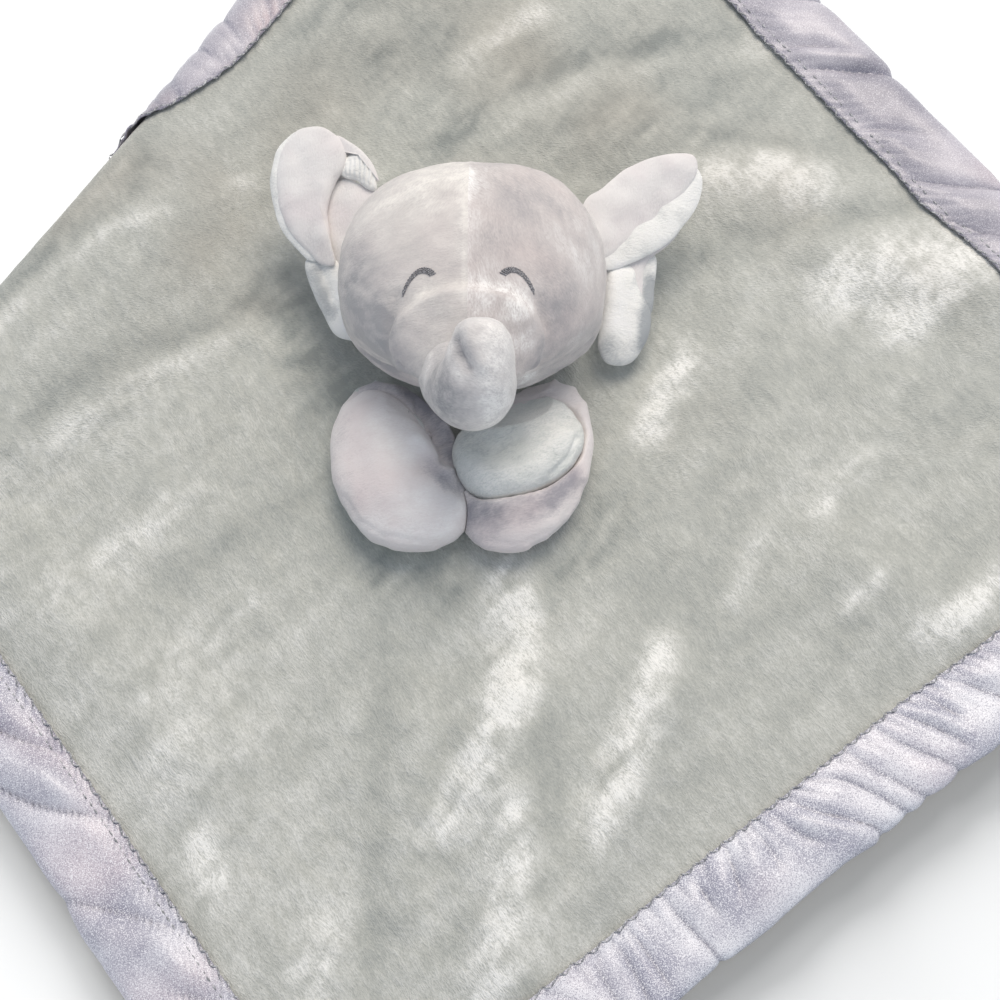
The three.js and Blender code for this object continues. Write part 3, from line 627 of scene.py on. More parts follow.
def strip_points(side, x, y, lift=0.0):
    """Points of a strip for x from 0 to 1 along it, and y from 0 to 1 round it from the top
    seam, and the painted shade of each: in creases, pinches and along the seam, and under the fold."""
    least, most, height, slant, first, last, seed = STRIPS[side]
    round_edge = math.pi * SATIN_STAND
    s = y * STRIP_ARC
    bend = np.clip((s - STRIP_TOP) / SATIN_STAND, 0, math.pi)
    inside = np.where(s < STRIP_TOP, BINDING_WIDTH - s, SATIN_STAND * (1 - np.sin(bend)))
    inside = np.where(s > STRIP_TOP + round_edge, s - STRIP_TOP - round_edge + SATIN_STAND, inside)
    rise = SATIN_STAND * np.cos(bend)
    (share_a, length_a), (share_b, length_b) = strip_ends(first), strip_ends(last)
    low = share_a * inside + length_a
    high = BLANKET_SIDE - share_b * inside - length_b
    station = between(low, high, x)
    to_end = np.minimum(station - low, high - station)
    lean = slant + 0.5 * lumps(np.stack([station, 0 * x, 0 * x], 1), SLANT_LUMP, seed + 1)
    skewed = station + lean * (inside - BINDING_WIDTH / 2)
    puff, painted_shade = puffs(skewed, 1 - inside / BINDING_WIDTH, least, most, seed)
    wide = lumps(np.stack([station, inside, 0 * rise], 1), PUFF_LUMP, seed)
    depth = smooth((BINDING_WIDTH - inside) / PUFF_DEPTH)
    raised = height * MM * depth * puff * (1 + 0.4 * wide)
    stitched = np.exp(-(BINDING_WIDTH - inside) / PINCH_REACH)
    gather, pinch = puffs(skewed, 0, *TUCKS, seed + 10)
    raised += PINCH * stitched * gather
    raised *= smooth(to_end / END_FADE)
    if first == "whole":
        rise = rise * between(0.12, 1, smooth(to_end / END_PINCH))
    outer = np.exp(-((inside / FOLD_REACH) ** 2))
    inside = inside - outer * SCALLOP * (puff - 0.75)
    rise = rise + smooth(np.cos(bend) / 0.5) * raised * (1 - 0.7 * outer) + lift
    along, across = strip_place(side, station, inside)
    points = cloth_point(along, across, rise)
    points[:, 2] = np.maximum(points[:, 2], SATIN / 2)
    under = smooth(0.7 - rise / SATIN_STAND)
    shaded = np.maximum(painted_shade * depth, PINCH_SHADE * stitched * pinch ** 2)
    sewn = SEAM_SHADE * np.exp(-(((BINDING_WIDTH - inside) / SEAM_REACH) ** 2))
    return points, np.maximum(np.maximum(shaded, sewn), UNDER_SHADE * under)


def satin_material(name, deep, body, tint, glitter):
    """Polyester satin: a soft shine, with painted shade in its creases and under its folds, and
    painted glints as bright grains where filaments catch the light; glitter is how strong these
    are."""
    material, tree, place = new_material(name)
    painted_shade = add_node(tree, "Attribute", out="Fac", attribute_name="painted_shade")
    grain = add_node(tree, "TexNoise", {"Vector": place, "Scale": 1 / SATIN_GRAIN, "Detail": 2.0,
                                        "Roughness": 0.75})
    wide = add_node(tree, "TexNoise", {"Vector": place, "Scale": 1 / SATIN_SHADE, "Detail": 2.0})
    warm = add_node(tree, "TexNoise", {"Vector": place, "Scale": 1 / SATIN_TINT, "Detail": 1.0})
    colour = coloured(tree, deep, (
        (wide, 0.35, 0.65, 1.0, body), (warm, 0.48, 0.62, 0.6, tint),
        (painted_shade, 0.0, 1.0, 0.95, SATIN_CREASE_SHADE), (grain, 0.48, 0.34, 0.7 * glitter, SATIN_DULL),
        (grain, 0.5, 0.64, glitter, SATIN_GLINT)))
    finish_cloth(tree, colour, grain, 0.35, SATIN_RELIEF, {
        "Roughness": 0.36, "Specular IOR Level": 0.6, "Anisotropic": 0.5, "Sheen Weight": 0.15,
        "Sheen Roughness": 0.3})
    return material


# Woven polyester satin glitters where filaments catch the light. They are too fine to show, so its
# painted glints and dull grains are drawn coarser; the crease colour is painted shade. The strips
# are lit and shaded copies of one satin: the upper strips get painted shade, darker and with less
# glitter, and the lower right strip painted light, paler and with more glitter
SATIN_GRAIN = 0.34 * MM
SATIN_SHADE = 19 * MM
SATIN_TINT = 41 * MM
SATIN_RELIEF = 0.12 * MM
SATIN_CREASE_SHADE = "#6a6a80"
SATIN_DULL = "#9495a4"
SATIN_GLINT = "#fbfbff"
satin_left = satin_material("woven_polyester_satin", "#a09eaf", "#e8e7ee", "#d6c6cd", 1.05)
satin_painted_light = satin_material("woven_polyester_satin_near", "#a9a8b9", "#f9f9fd", "#e3d9df", 1.35)
satin_painted_shade = satin_material("woven_polyester_satin_painted_shade", "#93909c", "#bfbbc4", "#c9b0b1", 0.5)
for side in STRIPS:
    bpy.ops.mesh.primitive_grid_add(x_subdivisions=STRIP_CELLS, y_subdivisions=SECTION_CELLS,
                                    size=1)
    piece = bpy.context.object
    flat = points_of(piece)
    points, painted_shade = strip_points(side, 0.5 + flat[:, 0], 0.5 + flat[:, 1])
    set_points(piece, points)
    # Painted shade in creases, pinches, along the seam and under the fold, which the satin's colour
    # reads
    store(piece, "painted_shade", painted_shade)
    apply_modifier(piece, "SOLIDIFY", thickness=SATIN, offset=0)
    finish_piece(piece, "binding_" + side, {"lower_right": satin_painted_light,
                                            "lower_left": satin_left}.get(side, satin_painted_shade))
    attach(piece, "blanket")
    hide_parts("satin_binding_" + side)

# ---- Edge stitching ----
# A zigzag of grey-lilac thread holds each strip's inner edge to the plush, and a straight row
# runs beside it on the lower left and upper right strips. Each stitch is one short loop.
STITCH_PITCH = 2.5 * MM
STITCH_REACH = 1.0 * MM
THREAD = 0.32 * MM
ROW_INSIDE = 3.2 * MM
ROW_SHARE = 0.8


def thread_material(name, dark, light, grain):
    """Twisted polyester thread: painted shade between its plies, with small painted glints on them.
    """
    material, tree, place = new_material(name)
    plies = add_node(tree, "TexNoise", {"Vector": place, "Scale": 1 / grain, "Detail": 2.0,
                                        "Roughness": 0.7})
    finish_cloth(tree, coloured(tree, dark, [(plies, 0.42, 0.68, 1.0, light)]), plies, 0.5,
                 0.1 * MM, {"Roughness": 0.45, "Specular IOR Level": 0.5, "Sheen Weight": 0.3})
    return material


def open_mesh(piece, kind="VERT", action="SELECT"):
    """Edit mode on one piece, with all of its mesh selected, or none of it."""
    pick(piece)
    bpy.ops.object.mode_set(mode="EDIT")
    bpy.ops.mesh.select_mode(type=kind)
    bpy.ops.mesh.select_all(action=action)


def close_mesh():
    bpy.ops.object.mode_set(mode="OBJECT")


def copy_of(piece):
    """A copy with its own mesh."""
    copy = piece.copy()
    copy.data = piece.data.copy()
    bpy.context.scene.collection.objects.link(copy)
    return copy


def into_one(pieces):
    pick(*pieces)
    bpy.ops.object.join()
    return bpy.context.object


def stitches(name, starts, ends, thread, material):
    """One loop of thread from each start to its end, all in one mesh."""
    bpy.ops.mesh.primitive_uv_sphere_add(segments=6, ring_count=5, radius=1)
    loop = bpy.context.object
    open_mesh(loop)
    bpy.ops.transform.resize(value=(thread, thread, 0.5))
    close_mesh()
    copies = []
    for start, end in zip(starts, ends):
        step = Vector(end) - Vector(start)
        turn = step.to_track_quat("Z", "Y").to_matrix().to_4x4()
        middle = Matrix.Translation((Vector(start) + Vector(end)) / 2)
        copies.append(copy_of(loop))
        copies[-1].data.transform(middle @ turn @ Matrix.Diagonal((1, 1, step.length, 1)))
    bpy.data.objects.remove(loop)
    made = into_one(copies)
    finish_piece(made, name, material)
    return made


# Twisted polyester sewing thread: its plies, drawn as fine grain, make it look faintly beaded
binding_thread = thread_material("twisted_binding_thread", "#75777b", "#dcdde0", 0.6 * MM)
count = int((BLANKET_SIDE - 2 * BINDING_WIDTH) / STITCH_PITCH) + 1
x = (np.arange(count) + 0.5) / count
for side in STRIPS:
    inner = strip_points(side, x, 0 * x, THREAD)[0]
    outer = strip_points(side, x, 0 * x + STITCH_REACH / STRIP_ARC, THREAD)[0]
    out = (inner - outer) * 0.5
    zig = np.where((np.arange(count) % 2 == 0)[:, None], inner + out, outer)
    starts, ends = list(zig[:-1]), list(zig[1:])
    if side in ("lower_left", "upper_right"):
        row = strip_points(side, x, 0 * x + ROW_INSIDE / STRIP_ARC, 0.4 * THREAD)[0]
        starts += list(row[:-1])
        ends += list(between(row[:-1], row[1:], ROW_SHARE))
    piece = stitches("stitching_" + side, starts, ends, THREAD, binding_thread)
    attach(piece, "blanket")

# ---- Head cover ----
# Three panels of lilac-grey velour, two for the face and one for the back, are sewn into a
# rounded box with a full muzzle and stuffed hard. Air pressure swells the mesh in the same way.
HEAD_CENTRE = np.array([0, 22, 36.6]) * MM
HEAD_HALF = np.array([38.2, 35.5, 31.2]) * MM
HEAD_POWER = 2.4
MUZZLE_CENTRE = np.array([0, -1, 43.5]) * MM
MUZZLE_HALF = np.array([20, 17.5, 19]) * MM
MUZZLE_BLEND = 1.5 * MM
PUFF_MIDDLE = np.array([-0.6, -4]) * MM
PUFF_HALF = np.array([20.3, 11]) * MM
PUFF_HEIGHT = 3.5 * MM
PUFF_EDGE = 0.2
CHIN_LIFT = 4.4 * MM
# The chin is drawn up in front of and below these places, each with the length of its change
CHIN_FRONT = (16 * MM, 26 * MM)
CHIN_TOP = (52 * MM, 16 * MM)
CHIN_LIFT = 4.4 * MM
CHEEK_SPREAD = 0.035
CHEEK_FADE = (4 * MM, 14 * MM)
SIDE_SEAM = math.radians(94)
SKIN = 1.2 * MM
HEAD_SHRINK = 0.6 * MM
HEAD_VOXEL = 4 * MM
HEAD_CAP = 1.2 * MM
SWELL_PRESSURE = 4
SWELL_FRAMES = 20
RIM_ANGLE = math.radians(55)
SEAM_WIDTH = 0.9 * MM
SEAM_DEPTH = 0.4 * MM
# Dents and ridges: half width, height, then a route, all in millimetres
HEAD_STROKES = [
    (1.6, -0.9, (-19.8, 6), (-21.6, 1), (-20.6, -5), (-16, -11.5)),
    (1.6, -0.9, (18.9, 5), (20.2, -1), (18.9, -8), (15, -12.5)),
    (5, 0.7, (12.5, 1), (12, -4)),
    (1.3, 0.35, (-0.9, 42), (-0.9, 12)),
]
# Painted sheen where the velour catches the light, on the forehead, the middle seam and the muzzle,
# and painted shade in the dents, beside the muzzle and on the cheeks
HEAD_SHEEN_AND_SHADE = [
    (9, 0.6, (-18, 40), (-8, 46), (-5, 32)),
    (3, 0.4, (-1.5, 48), (-1.6, 5)),
    (0.8, 0.5, (-0.6, 46), (-0.8, 26), (-1.0, 2)),
    (12, -0.15, (12, 45), (20, 30)),
    (8, -0.3, (30, 12), (25, -5)),
    (5, 0.3, (24, 26), (31, 16)),
    (7.5, 0.9, (4, 3), (11, 3), (16, -3)),
    (2, 0.4, (3, 7), (11, 7), (18, 3)),
    (2.5, 0.3, (-18, 2), (-12, 6), (-4, 7)),
    (6, 0.2, (-15, 3), (-13, -4)),
    (1.6, -0.5, (-20, 5), (-22, -4), (-20, -11), (-16, -17)),
    (1.6, -0.5, (19, 4), (20, -6), (18, -12)),
    (8, -0.7, (-34, 18), (-30, 2)),
    (4, -0.6, (-25, 3), (-24, -6), (-18, -14)),
    (4, -0.5, (24, 3), (23, -7), (18, -14)),
    (4, 0.5, (-27, 36), (-32, 30)),
]


def head_surface(way):
    """The head's surface in each direction from its middle, the muzzle blended in."""
    box = (np.abs(way / HEAD_HALF) ** HEAD_POWER).sum(1) ** (-1 / HEAD_POWER)
    ray, offset = way / MUZZLE_HALF, (HEAD_CENTRE - MUZZLE_CENTRE) / MUZZLE_HALF
    a, b, c = (ray ** 2).sum(1), ray @ offset, offset @ offset - 1
    root = b * b - a * c
    muzzle = np.where(root > 0, (-b + np.sqrt(np.maximum(root, 0))) / a, 0)
    apart = np.abs(box - muzzle) / MUZZLE_BLEND
    reach = np.maximum(box, muzzle) + MUZZLE_BLEND * 0.25 * np.maximum(1 - apart, 0) ** 2
    return way * reach[:, None] + HEAD_CENTRE


def tapered(points):
    """The head's points with the chin drawn up and the cheeks spread."""
    points = points.copy()
    low = smooth((CHIN_FRONT[0] - points[:, 1]) / CHIN_FRONT[1])
    low *= smooth((CHIN_TOP[0] - points[:, 2]) / CHIN_TOP[1])
    points[:, 1] += CHIN_LIFT * low
    points[:, 0] *= 1 + CHEEK_SPREAD * smooth((points[:, 1] + CHEEK_FADE[0]) / CHEEK_FADE[1])
    return points


def swell(piece, voxel, cap):
    """Stuffs a closed form: remeshes it evenly, then blows it up by at most cap."""
    apply_modifier(piece, "REMESH", mode="VOXEL", voxel_size=voxel)
    before = points_of(piece)
    cloth = piece.modifiers.new("Cloth", "CLOTH")
    cloth.settings.use_pressure = True
    cloth.settings.uniform_pressure_force = SWELL_PRESSURE
    cloth.settings.effector_weights.gravity = 0
    scene = bpy.context.scene
    for step in range(1, SWELL_FRAMES + 1):
        scene.frame_set(step)
    blown = piece.evaluated_get(bpy.context.evaluated_depsgraph_get())
    after = points_of(blown)
    piece.modifiers.remove(cloth)
    scene.frame_set(1)
    move = after - before
    length = np.linalg.norm(move, axis=1)
    move *= (np.minimum(length, cap) / np.maximum(length, 1e-9))[:, None]
    set_points(piece, before + move)


def subdivide(piece, levels):
    apply_modifier(piece, "SUBSURF", levels=levels, render_levels=levels)


def push_out(piece, amount):
    """Moves each point along its normal by its amount."""
    set_points(piece, points_of(piece) + normals_of(piece) * amount[:, None])


def press(piece, strokes, facing=0.15):
    """Raises or dents the side that faces up along plan routes."""
    points, normals = points_of(piece), normals_of(piece)
    up = smooth((normals[:, 2] - facing) / 0.3)
    for half_width, height, *route in strokes:
        points += normals * (up * height * MM * near(points, half_width, route))[:, None]
    set_points(piece, points)


def crumple(piece, amount, size, seed):
    """Uneven stuffing and small wrinkles, as bumps along the normals."""
    push_out(piece, amount * lumps(points_of(piece), size, seed))


def take_part(piece, name, keep):
    """A copy of a piece with only the faces whose middles keep accepts, as points in metres."""
    part = copy_of(piece)
    part.name = name
    gone = ~keep(vectors_of(part.data.polygons, "center"))
    open_mesh(part, "FACE", "DESELECT")
    close_mesh()
    part.data.polygons.foreach_set("select", gone)
    bpy.ops.object.mode_set(mode="EDIT")
    bpy.ops.mesh.delete(type="FACE")
    close_mesh()
    return part


def cut_line(piece, point, normal):
    """Cuts the mesh along a plane and keeps both sides."""
    open_mesh(piece)
    bpy.ops.mesh.bisect(plane_co=point, plane_no=normal)
    close_mesh()


def velour_panel(form, name, node, material, keep):
    """One panel of the head's or the trunk's cover: a part of its form, with the cloth's
    thickness and crisp rims."""
    piece = take_part(form, name, keep)
    apply_modifier(piece, "SOLIDIFY", thickness=SKIN, offset=-1)
    open_mesh(piece, "EDGE", "DESELECT")
    bpy.ops.mesh.edges_select_sharp(sharpness=RIM_ANGLE)
    bpy.ops.mesh.mark_sharp()
    close_mesh()
    finish_piece(piece, name, material)
    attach(piece, "head")
    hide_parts(node)
    return piece


bpy.ops.mesh.primitive_uv_sphere_add(segments=72, ring_count=48, radius=1)
head = bpy.context.object
way = points_of(head)
way /= np.linalg.norm(way, axis=1)[:, None]
set_points(head, head_surface(way) - way * HEAD_SHRINK)
swell(head, HEAD_VOXEL, HEAD_CAP)
subdivide(head, 2)
set_points(head, tapered(points_of(head)))
press(head, HEAD_STROKES)
reach = np.hypot(*((points_of(head)[:, :2] - PUFF_MIDDLE) / PUFF_HALF).T)
puff = PUFF_HEIGHT * smooth((1 + PUFF_EDGE / 2 - reach) / PUFF_EDGE)
push_out(head, puff * smooth(normals_of(head)[:, 2] / 0.4))
crumple(head, 0.35 * MM, 14 * MM, 31)
crumple(head, 0.1 * MM, 4 * MM, 32)

cut_line(head, (0, 0, 0), (1, 0, 0))
for side in (1, -1):
    cut_line(head, tuple(HEAD_CENTRE), (side * math.cos(SIDE_SEAM), 0, -math.sin(SIDE_SEAM)))


def seam_height(points):
    """How far each point lies above the side seams, which run from the crown to the chin."""
    seam_slope = math.cos(SIDE_SEAM) / math.sin(SIDE_SEAM)
    return points[:, 2] - HEAD_CENTRE[2] - seam_slope * np.abs(points[:, 0])


points = points_of(head)
side_near = np.exp(-((seam_height(points) / SEAM_WIDTH) ** 2))
front = smooth(seam_height(points) / (2 * MM))
middle_near = front * np.exp(-((points[:, 0] / (0.6 * SEAM_WIDTH)) ** 2))
push_out(head, -SEAM_DEPTH * (side_near - 0.4 * middle_near))
paint_sheen_and_shade(head, HEAD_SHEEN_AND_SHADE, 41, patch=26 * MM, patch_share=0.22, swirl=7 * MM, swirl_share=0.22)

# Velour: a dense pile under a millimetre long, which looks soft and chalky with faint mottling
velour_left = pile_material("brushed_velour_pale", "#a9a8aa", "#cfcbc8", "#f0ede7",
                            pile=0.45 * MM, contrast=0.34, relief=0.22 * MM, lean=0.9, sheen=0.3,
                            blush=("#d6cbca", 20 * MM, 0.25, ALL_OVER))
velour_right = pile_material("brushed_velour_warm", "#a3a1a4", "#cbc5c3", "#f6f5f3",
                             pile=0.45 * MM, contrast=0.4, relief=0.22 * MM, lean=-0.7, sheen=0.3,
                             blush=("#d7c9c5", 20 * MM, 0.3, ALL_OVER), glint_most=2.4)
face = {
    "left": velour_panel(head, "face_left", "face_panel_left", velour_left,
                         lambda p: (p[:, 0] < 0) & (seam_height(p) > 0)),
    "right": velour_panel(head, "face_right", "face_panel_right", velour_right,
                          lambda p: (p[:, 0] >= 0) & (seam_height(p) > 0)),
}
velour_panel(head, "head_back", "head_back_panel", velour_right, lambda p: seam_height(p) <= 0)
bpy.data.objects.remove(head)

# ---- Trunk ----
# Two more velour panels make a short stuffed trunk that curls up from the muzzle. Its tip is
# folded over to the left, so a crease runs beside it.
TRUNK_LINE = np.array([(-0.5, -3, 44), (-0.8, -11.5, 50.5), (0.8, -19.4, 58.5), (2.3, -19.8, 67),
                       (3.9, -14.2, 73.6), (3.6, -6.4, 76.2)]) * MM
TRUNK_RADII = np.array([13.8, 14.8, 13.2, 12.1, 9.7, 8.2]) * MM
TRUNK_CAP = 0.15
TRUNK_ROOT = 0.1
TRUNK_SHRINK = 0.6 * MM
TRUNK_VOXEL = 2.4 * MM
TRUNK_SWELL = 1.4 * MM
TRUNK_SEAM = 0.5 * MM
TRUNK_STEP = 0.01
TRUNK_STROKES = [
    (0.8, -1.5, (-2.5, -14.5), (-1.4, -18.6), (1.0, -22.5)),
    (1.7, 0.9, (0.3, -12.5), (1.6, -17.5), (4.2, -22)),
    (1.2, 0.4, (-10.8, -11), (-11.6, -15), (-11.8, -20)),
    (5, 0.4, (6, -14), (6.5, -21)),
]
# Painted light and shade: paler on the trunk's right, on a band beside the crease and on a ridge at
# its left edge, darker on its left and in the crease
TRUNK_SHEEN_AND_SHADE = [
    (4.5, 0.8, (6.5, -12), (8.5, -20), (7.5, -31)),
    (6, -0.5, (-8, -20), (-5, -31)),
    (1.3, 0.6, (-4.6, -14), (-3.9, -19), (-0.8, -25)),
    (1.1, 0.6, (-10.4, -11), (-11.6, -18)),
    (1.0, -0.8, (-2.2, -14.5), (-1.1, -18.6), (1.3, -22.5)),
]


def spline(a, b, c, d, t):
    """Places on a smooth curve from b to c for t from 0 to 1; a and d are its neighbours."""
    return 0.5 * (2 * b + (c - a) * t + (2 * a - 5 * b + 4 * c - d) * t ** 2
                  + (3 * b - a - 3 * c + d) * t ** 3)


def along_line(line, share):
    """Places on a smooth line through the points, for shares from 0 to 1."""
    reach = np.concatenate([[0], np.cumsum(np.linalg.norm(np.diff(line, axis=0), axis=1))])
    at = np.interp(share, reach / reach[-1], np.arange(len(line)))
    i = np.clip(at.astype(int), 0, len(line) - 2)
    ends = np.vstack([2 * line[0] - line[1], line, 2 * line[-1] - line[-2]])
    return spline(ends[i], ends[i + 1], ends[i + 2], ends[i + 3], (at - i)[:, None])


bpy.ops.mesh.primitive_uv_sphere_add(segments=48, ring_count=48, radius=1)
trunk = bpy.context.object
ball = points_of(trunk)
share = 0.5 + np.arcsin(np.clip(ball[:, 2], -1, 1)) / math.pi
radius = np.interp(share, np.linspace(0, 1, len(TRUNK_RADII)), TRUNK_RADII) - TRUNK_SHRINK
cap = np.clip((share - 1 + TRUNK_CAP) / TRUNK_CAP, 0, 1)
root = np.clip(1 - share / TRUNK_ROOT, 0, 1)
radius = radius * np.sqrt(np.maximum(1 - cap ** 2, 0)) * np.sqrt(np.maximum(1 - root ** 2, 0))
middle = along_line(TRUNK_LINE, share)
before, after = (along_line(TRUNK_LINE, np.clip(share + step, 0, 1))
                 for step in (-TRUNK_STEP, TRUNK_STEP))
sideways = np.array([1.0, 0, 0])
outwards = np.cross(after - before, sideways)
outwards /= np.linalg.norm(outwards, axis=1)[:, None]
turn = np.arctan2(ball[:, 1], ball[:, 0])[:, None]
set_points(trunk, middle + radius[:, None] * (np.cos(turn) * sideways + np.sin(turn) * outwards))
open_mesh(trunk)
bpy.ops.mesh.normals_make_consistent(inside=False)
close_mesh()
swell(trunk, TRUNK_VOXEL, TRUNK_SWELL)
subdivide(trunk, 1)
press(trunk, TRUNK_STROKES, facing=-0.2)
crumple(trunk, 0.25 * MM, 7 * MM, 33)
cut_line(trunk, (TRUNK_SEAM, 0, 0), (1, 0, 0))
paint_sheen_and_shade(trunk, TRUNK_SHEEN_AND_SHADE, 43, patch=14 * MM, patch_share=0.12, swirl=4 * MM, swirl_share=0.15)

# Velour again, with stronger painted sheen, so its patches where the pile catches the light are
# paler
velour_trunk = pile_material("brushed_velour_trunk", "#96969a", "#cdcac9", "#f3f1ee",
                             pile=0.45 * MM, contrast=0.3, relief=0.25 * MM, lean=0.4, sheen=0.3,
                             glint_most=2.6)
velour_panel(trunk, "trunk_left", "trunk_panel_left", velour_trunk,
             lambda p: p[:, 0] < TRUNK_SEAM)
velour_panel(trunk, "trunk_right", "trunk_panel_right", velour_trunk,
             lambda p: p[:, 0] >= TRUNK_SEAM)
bpy.data.objects.remove(trunk)

# ---- Eyes ----
# Each closed lid is an arc of dark grey satin stitch, thick towards the trunk and thin outside.
# Some fifteen short threads lie side by side across it, between two long ones.
EYE_SPACING = 27.5
EYE_LENGTH = 8.2
EYE_RISE = 2.9
EYE_DROP = 2.1
EYE_UP = 9
EYE_WIDTH = 1.0
EYE_TAPER = 0.35
EYE_THREAD = 0.27 * MM
EYE_STITCHES = 17
EYE_RAILS = (0.75, -0.75)
STITCH_SLANT = 0.09
# Embroidery thread: a loose twist, so single stitches show as glossy dark grey bars
eye_thread = thread_material("embroidery_thread_dark_grey", "#505056", "#b6b6ba", 0.35 * MM)


def on_face(x, y, rise):
    """The place on the face over x and y in millimetres, raised off it by rise."""
    start, down = Vector((x * MM, y * MM, 0.12)), Vector((0, 0, -1))
    _, place, normal, _ = face["left" if x < 0 else "right"].ray_cast(start, down)
    return np.array(place + normal * rise)


def lid(side, t, off):
    """A point of the lid's arc: t from -1 inside to 1 outside, off across it in millimetres."""
    x = side * (EYE_SPACING + EYE_LENGTH * t) / 2
    y = EYE_UP + EYE_RISE * (1 - t * t) - EYE_DROP * t
    slope = np.array([side * EYE_LENGTH / 2, -2 * EYE_RISE * t - EYE_DROP])
    slope /= np.linalg.norm(slope)
    return on_face(x - slope[1] * off * side, y + slope[0] * off * side, 0.5 * EYE_THREAD)


for side, name in ((-1, "left"), (1, "right")):
    draw = np.random.default_rng(7 + side)
    starts, ends = [], []
    stations = np.linspace(-1, 1, EYE_STITCHES)
    widths = [EYE_WIDTH * between(1, EYE_TAPER, (1 + t) / 2) for t in stations]
    for t, width in zip(stations, widths):
        half_width = width * draw.uniform(0.85, 1.1)
        starts.append(lid(side, t - STITCH_SLANT, half_width))
        ends.append(lid(side, t + STITCH_SLANT, -half_width))
    for off in EYE_RAILS:
        rail = [lid(side, t, off * width) for t, width in zip(stations, widths)]
        starts += rail[:-1]
        ends += rail[1:]
    piece = stitches("eye_" + name + "_stitches", starts, ends, EYE_THREAD, eye_thread)
    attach(piece, "head")
    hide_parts("eye_" + name)

# ---- Ears ----
# Each ear is lilac velour lined with white plush, seamed round its rim and folded over at the
# top, so a lilac flap with a white rim lies over a white lobe. The root is sewn into the side seam.
EAR_SLOPE = 0.38
EAR_SIDE_SLOPE = -0.15
